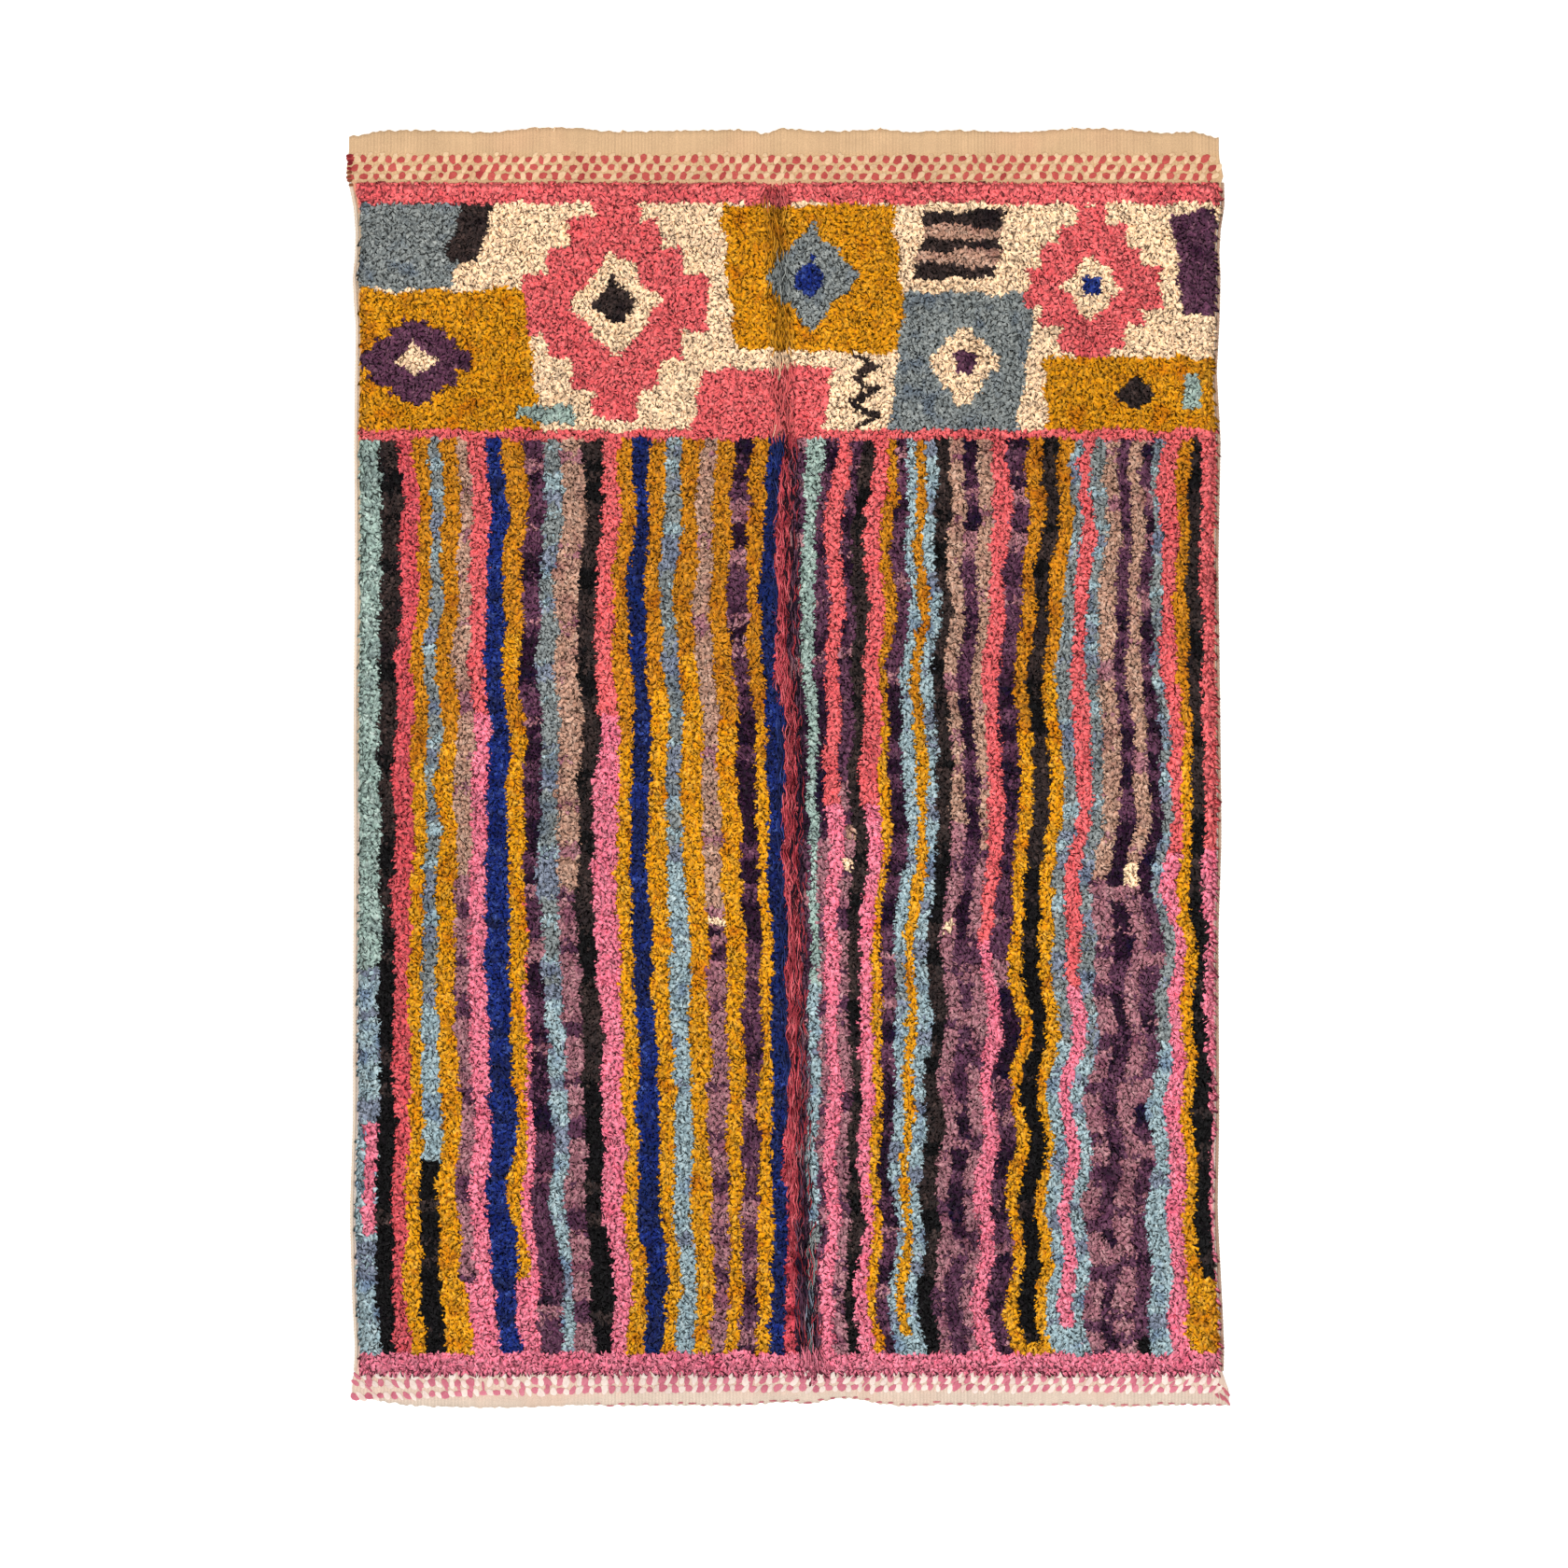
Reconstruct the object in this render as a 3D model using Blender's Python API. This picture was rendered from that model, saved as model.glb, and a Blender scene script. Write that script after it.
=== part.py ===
# Hand-knotted berber rug lying flat on its back, pile side up.
# Metres, +Z up. The width runs along X and the length along Y, with the patterned panel at +Y.
# The origin is the centre of the footprint on the floor.
# The ground weave and the knots tied into it are one solid: thin flat-woven ends with ridges of
# twined weft, and between them a lumpy slab of pile with locks of wool at its rim and a fold
# crease down the middle. Along each side runs an overcast selvedge, sewn on as its own piece.

from collections import namedtuple

import bmesh
import bpy
import numpy as np
from mathutils import Vector, noise

# Heights above the floor
GROUND_HEIGHT = 0.0042
BAND_CREST_HEIGHT = 0.0068
RIM_FOOT_HEIGHT = 0.0082
SHOULDER_HEIGHT = 0.0160
PILE_HEIGHT = 0.0205

# Pile relief
LUMP_HEIGHT = 0.0024
LUMP_LENGTH = 0.085
FINE_LUMP_SHARE = 0.6
FINE_LUMP_LENGTH = 0.043
CREASE_DEPTH = 0.0065
CREASE_HALF_WIDTH = 0.026
GROUND_RIPPLE = 0.0004

# Lengthwise layout: where the pile stops, and the rows of twined weft beyond it
PILE_TOP = 1.350
PILE_BOTTOM = -1.392
BAND_OFFSET = 0.004
BAND_ROW_PITCH = 0.020
TOP_BAND_ROWS = 3
BOTTOM_BAND_ROWS = 2

# Side lip of bare ground between the selvedge and the foot of the pile
SIDE_LIP = 0.006

# Overcast selvedge
SELVEDGE_WIDTH = 0.0100
SELVEDGE_HEIGHT = 0.0066
SELVEDGE_FLAT = 0.0060
SELVEDGE_WAIST_HEIGHT = 0.0030
SELVEDGE_SWELL = 0.0003
PIECE_GAP = 0.0003

# Size of the cells that the surface is made of
CELLS_EACH_SIDE_OF_CREASE = 18
CELLS_ALONG_PILE = 50

# Locks at the rim: each rim cell is halved, and an uneven eight of every eleven halves carry a lock
LOCK_STEP = 7
LOCK_CYCLE = 11
LOCKS_PER_CYCLE = 8
LOCK_TIP_WIDTH = 0.30
LOCK_TIP_HEIGHT = 0.34
LOCK_TIP_DROP = 0.0025
LOCK_SWAY = 0.006
LOCK_LENGTH_SPREAD = 0.35
LOCK_WAVE_LENGTH = 0.025

LockSide = namedtuple("LockSide", "direction length")
LOCK_SIDES = (
    LockSide(direction=Vector((0, -1, 0)), length=0.017),
    LockSide(direction=Vector((0, 1, 0)), length=0.008),
    LockSide(direction=Vector((-1, 0, 0)), length=0.010),
    LockSide(direction=Vector((1, 0, 0)), length=0.013),
)

# Outer outline of the sides, selvedges included, from the bottom end to the top end
SideStation = namedtuple("SideStation", "y left right")
SIDE_STATIONS = (
    SideStation(y=-1.474, left=-1.010, right=1.021),
    SideStation(y=-1.457, left=-1.007, right=1.021),
    SideStation(y=-1.435, left=-1.005, right=1.015),
    SideStation(y=-1.414, left=-1.006, right=1.005),
    SideStation(y=-1.328, left=-1.002, right=1.006),
    SideStation(y=-1.242, left=-1.008, right=1.002),
    SideStation(y=-1.027, left=-1.014, right=0.991),
    SideStation(y=-0.812, left=-1.007, right=0.995),
    SideStation(y=-0.382, left=-1.006, right=0.993),
    SideStation(y=-0.167, left=-1.004, right=1.000),
    SideStation(y=0.048, left=-1.006, right=0.998),
    SideStation(y=0.478, left=-1.002, right=0.993),
    SideStation(y=0.757, left=-1.004, right=0.998),
    SideStation(y=0.908, left=-1.002, right=0.989),
    SideStation(y=1.016, left=-1.000, right=0.995),
    SideStation(y=1.123, left=-1.008, right=0.998),
    SideStation(y=1.209, left=-1.000, right=0.994),
    SideStation(y=1.274, left=-1.002, right=1.003),
    SideStation(y=1.316, left=-1.008, right=1.011),
    SideStation(y=1.349, left=-1.016, right=1.006),
    SideStation(y=1.390, left=-1.021, right=0.999),
    SideStation(y=1.414, left=-1.016, right=0.994),
    SideStation(y=1.455, left=-1.014, right=0.992),
)

# Outline of the two flat-woven ends, from the left side to the right
EndStation = namedtuple("EndStation", "x bottom top")
END_STATIONS = (
    EndStation(x=-1.021, bottom=-1.436, top=1.447),
    EndStation(x=-1.000, bottom=-1.450, top=1.459),
    EndStation(x=-0.978, bottom=-1.458, top=1.467),
    EndStation(x=-0.935, bottom=-1.464, top=1.472),
    EndStation(x=-0.870, bottom=-1.475, top=1.473),
    EndStation(x=-0.680, bottom=-1.479, top=1.467),
    EndStation(x=-0.585, bottom=-1.477, top=1.479),
    EndStation(x=-0.484, bottom=-1.472, top=1.478),
    EndStation(x=-0.419, bottom=-1.474, top=1.469),
    EndStation(x=-0.226, bottom=-1.473, top=1.472),
    EndStation(x=-0.090, bottom=-1.475, top=1.474),
    EndStation(x=-0.049, bottom=-1.466, top=1.463),
    EndStation(x=-0.020, bottom=-1.464, top=1.479),
    EndStation(x=0.060, bottom=-1.470, top=1.470),
    EndStation(x=0.121, bottom=-1.451, top=1.470),
    EndStation(x=0.226, bottom=-1.473, top=1.476),
    EndStation(x=0.290, bottom=-1.476, top=1.465),
    EndStation(x=0.355, bottom=-1.472, top=1.474),
    EndStation(x=0.530, bottom=-1.475, top=1.467),
    EndStation(x=0.677, bottom=-1.472, top=1.478),
    EndStation(x=0.774, bottom=-1.477, top=1.474),
    EndStation(x=0.871, bottom=-1.473, top=1.465),
    EndStation(x=0.935, bottom=-1.471, top=1.470),
    EndStation(x=1.000, bottom=-1.474, top=1.452),
    EndStation(x=1.021, bottom=-1.474, top=1.440),
)

# Course of the fold crease, where the pile parts
CreaseStation = namedtuple("CreaseStation", "y x")
CREASE_STATIONS = (
    CreaseStation(y=-1.457, x=0.075),
    CreaseStation(y=-1.350, x=0.058),
    CreaseStation(y=-1.027, x=0.037),
    CreaseStation(y=-0.597, x=0.024),
    CreaseStation(y=0.048, x=0.011),
    CreaseStation(y=0.693, x=0.000),
    CreaseStation(y=0.908, x=-0.006),
    CreaseStation(y=1.446, x=-0.026),
)

COLUMN_COUNT = 2 * CELLS_EACH_SIDE_OF_CREASE + 5


def readTable(stations, key, column, value):
    """Read a column of a table between its rows."""
    keys = [getattr(station, key) for station in stations]
    values = [getattr(station, column) for station in stations]
    return float(np.interp(value, keys, values))


def bandRows(start, step, rowCount):
    """Place the grooves and crests of the twined rows, outwards from the pile."""
    return [start + step * half for half in range(2 * rowCount + 1)]


BOTTOM_BAND = bandRows(PILE_BOTTOM - BAND_OFFSET, -BAND_ROW_PITCH / 2, BOTTOM_BAND_ROWS)
TOP_BAND = bandRows(PILE_TOP + BAND_OFFSET, BAND_ROW_PITCH / 2, TOP_BAND_ROWS)
PILE_ROWS = list(np.linspace(PILE_BOTTOM, PILE_TOP, CELLS_ALONG_PILE + 1))
INNER_ROWS = list(reversed(BOTTOM_BAND)) + PILE_ROWS + TOP_BAND
CREST_ROWS = BOTTOM_BAND[1::2] + TOP_BAND[1::2]


def makeMaterial(name, colour, roughness):
    material = bpy.data.materials.new(name)
    material.use_nodes = True
    shader = material.node_tree.nodes["Principled BSDF"]
    shader.inputs["Base Color"].default_value = (*colour, 1.0)
    shader.inputs["Roughness"].default_value = roughness
    shader.inputs["Metallic"].default_value = 0.0
    return material


def addObject(name, mesh, material):
    piece = bpy.data.objects.new(name, mesh)
    mesh.materials.append(material)
    bpy.context.collection.objects.link(piece)
    return piece


def finishMesh(bm, name):
    bmesh.ops.recalc_face_normals(bm, faces=bm.faces)
    mesh = bpy.data.meshes.new(name)
    bm.to_mesh(mesh)
    bm.free()
    return mesh


def groundEdge(y, side):
    """Side of the ground weave: drawn in beside the pile to leave room for the selvedge."""
    edge = readTable(SIDE_STATIONS, "y", side, y)
    if PILE_BOTTOM <= y <= PILE_TOP:
        inset = SELVEDGE_WIDTH + PIECE_GAP
        edge += inset if side == "left" else -inset
    return edge


def columnPlace(column, y):
    """X of a column of the grid at a place along the rug."""
    left = groundEdge(y, "left")
    right = groundEdge(y, "right")
    crease = readTable(CREASE_STATIONS, "y", "x", y)
    lastOfLeft = 1 + CELLS_EACH_SIDE_OF_CREASE
    stops = (
        (0, left),
        (1, left + SIDE_LIP),
        (lastOfLeft, crease - CREASE_HALF_WIDTH),
        (lastOfLeft + 1, crease),
        (lastOfLeft + 2, crease + CREASE_HALF_WIDTH),
        (COLUMN_COUNT - 2, right - SIDE_LIP),
        (COLUMN_COUNT - 1, right),
    )
    return float(np.interp(column, [stop[0] for stop in stops], [stop[1] for stop in stops]))


def ripple(x, y, length):
    return noise.noise(Vector((x / length, y / length, 0)))


def groundPoint(column, row):
    """A point of the woven ground's upper face."""
    if row == 0:
        x = columnPlace(column, SIDE_STATIONS[0].y)
        y = readTable(END_STATIONS, "x", "bottom", x)
    elif row == len(INNER_ROWS) + 1:
        x = columnPlace(column, SIDE_STATIONS[-1].y)
        y = readTable(END_STATIONS, "x", "top", x)
    else:
        y = INNER_ROWS[row - 1]
        x = columnPlace(column, y)
    height = BAND_CREST_HEIGHT if y in CREST_ROWS else GROUND_HEIGHT
    return Vector((x, y, height + GROUND_RIPPLE * ripple(x, y, LUMP_LENGTH)))


def pileHeight(x, y):
    """Height of the pile's tips: soft lumps, and a trough along the crease."""
    crease = readTable(CREASE_STATIONS, "y", "x", y)
    share = min(abs(x - crease) / CREASE_HALF_WIDTH, 1.0)
    trough = CREASE_DEPTH * (1.0 - share) ** 2
    lumps = ripple(x, y, LUMP_LENGTH) + FINE_LUMP_SHARE * ripple(x, y, FINE_LUMP_LENGTH)
    return PILE_HEIGHT + LUMP_HEIGHT * lumps - trough


def raiseRegion(bm, faces, height):
    """Raise a region of faces on upright sides, and give back its new faces."""
    region = set(faces)
    edges = [edge for edge in bm.edges if region.intersection(edge.link_faces)]
    made = bmesh.ops.extrude_face_region(bm, geom=faces + edges)["geom"]
    for vert in (item for item in made if isinstance(item, bmesh.types.BMVert)):
        vert.co.z = height
    return [item for item in made if isinstance(item, bmesh.types.BMFace)]


def outlineEdges(bm, faces):
    region = set(faces)
    return [edge for edge in bm.edges if len(region.intersection(edge.link_faces)) == 1]


def lockSide(face):
    """The row of LOCK_SIDES that a rim face looks towards."""
    return max(LOCK_SIDES, key=lambda side: side.direction.dot(face.normal))


def rimPlace(face):
    """Sorting key that walks each side of the rim in turn."""
    return lockSide(face).length, face.calc_center_median().to_tuple(4)


def growLocks(bm, rimFaces):
    """Draw most of the rim faces out into tapering locks of wool."""
    ordered = sorted(rimFaces, key=rimPlace)
    chosen = [
        face for place, face in enumerate(ordered)
        if (place * LOCK_STEP) % LOCK_CYCLE < LOCKS_PER_CYCLE
    ]
    tips = bmesh.ops.extrude_discrete_faces(bm, faces=chosen)["faces"]
    bm.normal_update()
    for tip in tips:
        side = lockSide(tip)
        centre = tip.calc_center_median()
        wave = noise.noise_vector(centre / LOCK_WAVE_LENGTH)
        length = side.length * (1 + LOCK_LENGTH_SPREAD * wave.x)
        along = Vector((side.direction.y, side.direction.x, 0))
        drop = Vector((0, 0, -LOCK_TIP_DROP))
        move = side.direction * length + along * LOCK_SWAY * wave.y + drop
        for vert in tip.verts:
            offset = vert.co - centre
            flat = Vector((offset.x, offset.y, 0)) * LOCK_TIP_WIDTH
            upright = Vector((0, 0, offset.z * LOCK_TIP_HEIGHT))
            vert.co = centre + flat + upright + move


def closeUnderside(bm):
    """Drop the outer edge to the floor and close the flat underside."""
    border = [edge for edge in bm.edges if edge.is_boundary]
    made = bmesh.ops.extrude_edge_only(bm, edges=border)["geom"]
    for vert in (item for item in made if isinstance(item, bmesh.types.BMVert)):
        vert.co.z = 0.0
    foot = [item for item in made if isinstance(item, bmesh.types.BMEdge) and item.is_boundary]
    bmesh.ops.edgeloop_fill(bm, edges=foot)


def makeRug():
    bm = bmesh.new()
    columns = COLUMN_COUNT - 1
    rows = len(INNER_ROWS) + 1
    bmesh.ops.create_grid(bm, x_segments=columns, y_segments=rows, size=1)
    firstPileRow = 1 + len(BOTTOM_BAND)
    pileFaces = []
    for face in bm.faces:
        centre = face.calc_center_median()
        column = int((centre.x + 1) / 2 * columns)
        row = int((centre.y + 1) / 2 * rows)
        besideLip = 0 < column < columns - 1
        if besideLip and firstPileRow <= row < firstPileRow + CELLS_ALONG_PILE:
            pileFaces.append(face)
    for vert in bm.verts:
        column = round((vert.co.x + 1) / 2 * columns)
        row = round((vert.co.y + 1) / 2 * rows)
        vert.co = groundPoint(column, row)

    bmesh.ops.bisect_edges(bm, edges=outlineEdges(bm, pileFaces), cuts=1)
    foot = raiseRegion(bm, pileFaces, RIM_FOOT_HEIGHT)
    top = raiseRegion(bm, foot, SHOULDER_HEIGHT)
    topFaces = set(top)
    rimEdges = outlineEdges(bm, top)
    rimFaces = [face for edge in rimEdges for face in edge.link_faces if face not in topFaces]
    rimVerts = {vert for edge in rimEdges for vert in edge.verts}
    for vert in {vert for face in top for vert in face.verts} - rimVerts:
        vert.co.z = pileHeight(vert.co.x, vert.co.y)
    closeUnderside(bm)
    bmesh.ops.recalc_face_normals(bm, faces=bm.faces)
    growLocks(bm, rimFaces)

    wool = makeMaterial("knotted_wool", (0.60, 0.30, 0.16), 0.95)
    addObject("knotted_rug", finishMesh(bm, "knotted_rug"), wool)


def makeSelvedge(name, side, material):
    """One overcast edge: a rounded strip with a flat underside, drawn along the rug's side."""
    inward = 1 if side == "left" else -1
    margin = (SELVEDGE_WIDTH - SELVEDGE_FLAT) / 2
    section = (
        (margin, 0.0),
        (SELVEDGE_WIDTH - margin, 0.0),
        (SELVEDGE_WIDTH, SELVEDGE_WAIST_HEIGHT),
        (SELVEDGE_WIDTH - margin, SELVEDGE_HEIGHT),
        (margin, SELVEDGE_HEIGHT),
        (0.0, SELVEDGE_WAIST_HEIGHT),
    )
    stations = list(PILE_ROWS)
    stations[0] += PIECE_GAP
    stations[-1] -= PIECE_GAP
    bm = bmesh.new()
    ring = bmesh.ops.create_circle(bm, segments=len(section), radius=SELVEDGE_WIDTH)["verts"]
    edges = list(bm.edges)
    for place, y in enumerate(stations):
        if place:
            made = bmesh.ops.extrude_edge_only(bm, edges=edges)["geom"]
            edges = [item for item in made if isinstance(item, bmesh.types.BMEdge) and item.is_boundary]
            ring = [item for item in made if isinstance(item, bmesh.types.BMVert)]
        outer = readTable(SIDE_STATIONS, "y", side, y)
        for vert, (across, height) in zip(ring, section):
            swell = SELVEDGE_SWELL * ripple(outer, y, LUMP_LENGTH) if height == SELVEDGE_HEIGHT else 0.0
            vert.co = (outer + inward * across, y, height + swell)
    openLoops = [edge for edge in bm.edges if edge.is_boundary]
    bmesh.ops.edgeloop_fill(bm, edges=openLoops)
    addObject(name, finishMesh(bm, name), material)


def makeSelvedges():
    cream = makeMaterial("selvedge_wool", (0.80, 0.62, 0.45), 0.95)
    makeSelvedge("selvedge_left", "left", cream)
    makeSelvedge("selvedge_right", "right", cream.copy())


for oldObject in list(bpy.data.objects):
    bpy.data.objects.remove(oldObject, do_unlink=True)

makeRug()
makeSelvedges()
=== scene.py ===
# A hand-knotted berber rug with a long shaggy pile, lying flat and seen from straight above.
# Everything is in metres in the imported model's own frame: X across, Y along, Z up from the floor.

import math

import bmesh
import bpy
import numpy as np
from mathutils import Euler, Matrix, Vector
from mathutils.bvhtree import BVHTree


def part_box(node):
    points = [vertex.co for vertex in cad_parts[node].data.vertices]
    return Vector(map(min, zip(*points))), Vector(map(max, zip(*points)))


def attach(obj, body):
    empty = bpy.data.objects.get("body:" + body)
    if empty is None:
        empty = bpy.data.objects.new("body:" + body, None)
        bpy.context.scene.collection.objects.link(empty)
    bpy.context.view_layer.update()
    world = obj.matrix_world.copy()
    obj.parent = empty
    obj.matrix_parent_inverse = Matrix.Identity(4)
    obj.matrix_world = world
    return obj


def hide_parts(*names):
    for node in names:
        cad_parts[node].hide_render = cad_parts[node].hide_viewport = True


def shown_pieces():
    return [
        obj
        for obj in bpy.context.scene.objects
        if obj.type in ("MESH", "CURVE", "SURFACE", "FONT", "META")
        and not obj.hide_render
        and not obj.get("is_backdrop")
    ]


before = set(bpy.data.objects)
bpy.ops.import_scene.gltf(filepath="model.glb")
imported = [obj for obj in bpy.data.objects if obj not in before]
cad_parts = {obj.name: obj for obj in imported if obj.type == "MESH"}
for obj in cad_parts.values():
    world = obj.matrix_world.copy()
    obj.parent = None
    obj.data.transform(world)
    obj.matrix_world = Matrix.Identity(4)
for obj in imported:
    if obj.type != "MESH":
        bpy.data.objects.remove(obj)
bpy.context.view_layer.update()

unevenness = {"waves": 7, "lengths": (0.7, 1.5), "level": 2.6}


def linear(colour):  # screen colour from 0 to 255 into the shader's linear light
    shares = [channel / 255 for channel in colour]
    return tuple(s / 12.92 if s <= 0.04045 else ((s + 0.055) / 1.055) ** 2.4 for s in shares)


def waves(x, y, length, seed):  # smooth repeatable unevenness, mostly between -1 and 1
    draw = np.random.default_rng(seed)
    total = 0.0
    for _ in range(unevenness["waves"]):
        turn = draw.uniform(0, 2 * math.pi)
        reach = 2 * math.pi / (length * draw.uniform(*unevenness["lengths"]))
        start = draw.uniform(0, 2 * math.pi)
        total = total + np.sin(reach * (x * math.cos(turn) + y * math.sin(turn)) + start)
    return total / unevenness["level"]


def treeOf(nodeName):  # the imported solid, ready for measuring rays
    bm = bmesh.new()
    bm.from_mesh(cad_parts[nodeName].data)
    tree = BVHTree.FromBMesh(bm)
    bm.free()
    return tree


def meshOf(bm, name):
    mesh = bpy.data.meshes.new(name)
    bm.to_mesh(mesh)
    bm.free()
    return mesh


def shapeTables(bm):  # corners and faces of a small shape that is copied many times
    bm.verts.ensure_lookup_table()
    corners = np.array([v.co for v in bm.verts])
    faces = np.array([[v.index for v in face.verts] for face in bm.faces])
    bm.free()
    return corners, faces


def addObject(name, data):
    made = bpy.data.objects.new(name, data)
    bpy.context.scene.collection.objects.link(made)
    return made


def addPiece(name, mesh, material):
    piece = addObject(name, mesh)
    mesh.materials.append(material)
    mesh.shade_smooth()
    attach(piece, "root")
    return piece


# camera, floor and light
studio = {
    "cameraX": -0.0108,
    "cameraY": -0.0376,
    "cameraZ": 9.0,
    "frameWidth": 3.612,  # how much the picture takes in across, at the pile's height
    "focusZ": 0.0205,
    "sensor": 36.0,
    "seesTo": 300.0,
    "floorSize": 160.0,
    "floorRoughness": 0.9,
    "floorColour": (250, 249, 247),
    "ambientColour": (255, 255, 255),
    "ambient": 1.0,
    "keyPower": 1.2,
    "keyAngle": (22, -10, 0),  # degrees: from beyond the top end, a little from the left
    "keySoftness": 30,
    "keyColour": (255, 252, 248),
    "lampSize": 3.2,
    "lampZ": 3.4,
    "lamps": (  # y, watts and colour: a warm one over the panel, a cool one over the bottom
        (1.9, 34, (255, 222, 182)),
        (-1.7, 46, (240, 245, 255)),
    ),
}


def makeStudio():
    scene = bpy.context.scene
    scene.view_settings.view_transform = "Standard"

    lens = bpy.data.cameras.new("camera")
    lens.sensor_width = studio["sensor"]
    lens.lens = studio["sensor"] * (studio["cameraZ"] - studio["focusZ"]) / studio["frameWidth"]
    lens.clip_end = studio["seesTo"]
    camera = addObject("camera", lens)
    camera.location = (studio["cameraX"], studio["cameraY"], studio["cameraZ"])
    scene.camera = camera

    bm = bmesh.new()
    bmesh.ops.create_grid(bm, x_segments=1, y_segments=1, size=studio["floorSize"] / 2)
    floor = addObject("floor", meshOf(bm, "floor"))
    paint = bpy.data.materials.new("floor_paint")
    paint.use_nodes = True
    shader = paint.node_tree.nodes["Principled BSDF"]
    shader.inputs["Base Color"].default_value = (*linear(studio["floorColour"]), 1)
    shader.inputs["Roughness"].default_value = studio["floorRoughness"]
    floor.data.materials.append(paint)
    floor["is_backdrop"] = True

    world = bpy.data.worlds.new("studio_air")
    world.use_nodes = True
    air = world.node_tree.nodes["Background"]
    air.inputs["Color"].default_value = (*linear(studio["ambientColour"]), 1)
    air.inputs["Strength"].default_value = studio["ambient"]
    scene.world = world

    sun = bpy.data.lights.new("key", "SUN")
    sun.energy = studio["keyPower"]
    sun.angle = math.radians(studio["keySoftness"])
    sun.color = linear(studio["keyColour"])
    key = addObject("key", sun)
    key.rotation_euler = Euler([math.radians(a) for a in studio["keyAngle"]])
    for number, (y, power, colour) in enumerate(studio["lamps"]):
        panel = bpy.data.lights.new(f"lamp_{number}", "AREA")
        panel.energy = power
        panel.color = linear(colour)
        panel.size = studio["lampSize"]
        lamp = addObject(f"lamp_{number}", panel)
        lamp.location = (0, y, studio["lampZ"])
        lamp.visible_camera = False


makeStudio()
print("studio ready")

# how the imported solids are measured
measuring = {
    "far": 3.0,
    "groundZ": 0.0020,  # a ray at this height meets the ground weave's edge
    "pileZ": 0.0075,  # and at this one the foot of the pile
    "selvedgeZ": 0.0030,
    "sideLimit": 1.440,  # sides are measured no nearer the ends than this
    "endLimit": 0.990,
    "sideStep": 0.010,
    "middleX": 0.5,  # clear of the crease
    "wallInset": 0.001,
}
rugTree = treeOf("knotted_rug")


def hit(tree, start, direction):
    return tree.ray_cast(Vector(start), Vector(direction))[0]


def sideTable(tree, z, low, high):  # y, left x and right x along a side, by rays from both sides
    count = int((high - low) / measuring["sideStep"]) + 2
    places = np.linspace(low, high, count)
    left = [hit(tree, (-measuring["far"], y, z), (1, 0, 0)).x for y in places]
    right = [hit(tree, (measuring["far"], y, z), (-1, 0, 0)).x for y in places]
    return places, np.array(left), np.array(right)


def endTable(z, limit):  # x, bottom y and top y, by rays from both ends
    count = int(2 * limit / measuring["sideStep"]) + 2
    places = np.linspace(-limit, limit, count)
    bottom = [hit(rugTree, (x, -measuring["far"], z), (0, 1, 0)).y for x in places]
    top = [hit(rugTree, (x, measuring["far"], z), (0, -1, 0)).y for x in places]
    return places, np.array(bottom), np.array(top)


middleX, wallInset = measuring["middleX"], measuring["wallInset"]
pileBottom = hit(rugTree, (middleX, -measuring["far"], measuring["pileZ"]), (0, 1, 0)).y
pileTop = hit(rugTree, (middleX, measuring["far"], measuring["pileZ"]), (0, -1, 0)).y
pileSides = sideTable(rugTree, measuring["pileZ"], pileBottom + wallInset, pileTop - wallInset)
sideLimit = measuring["sideLimit"]
groundSides = sideTable(rugTree, measuring["groundZ"], -sideLimit, sideLimit)
groundEnds = endTable(measuring["groundZ"], measuring["endLimit"])


def pileLeft(y):
    return np.interp(y, pileSides[0], pileSides[1])


def pileRight(y):
    return np.interp(y, pileSides[0], pileSides[2])


def toPileEdge(x, y):  # how far inside the pile's nearest edge
    across = np.minimum(x - pileLeft(y), pileRight(y) - x)
    return np.minimum(across, np.minimum(pileTop - y, y - pileBottom))


def groundLeft(y):
    return float(np.interp(y, groundSides[0], groundSides[1]))


def groundRight(y):
    return float(np.interp(y, groundSides[0], groundSides[2]))


def groundBottom(x):
    return float(np.interp(x, groundEnds[0], groundEnds[1]))


def groundTop(x):
    return float(np.interp(x, groundEnds[0], groundEnds[2]))


crease = {  # the fold line down the middle, where the pile parts
    "y": (-1.457, -1.350, -1.027, -0.597, 0.048, 0.693, 0.908, 1.446),
    "x": (0.075, 0.058, 0.037, 0.024, 0.011, 0.000, -0.006, -0.026),
    "halfWidth": 0.028,
    "middle": -0.007,
    "strength": 1.3,  # over 1, so the bottom of the fold is broad
}


def creaseX(y):
    return np.interp(y, crease["y"], crease["x"])


def creaseShare(x, y):  # 1 at the bottom of the fold, 0 beside it
    offset = np.abs(x - creaseX(y) - crease["middle"])
    return np.clip(crease["strength"] - offset / crease["halfWidth"], 0, 1)


print("pile from", round(pileBottom, 4), "to", round(pileTop, 4))

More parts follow.
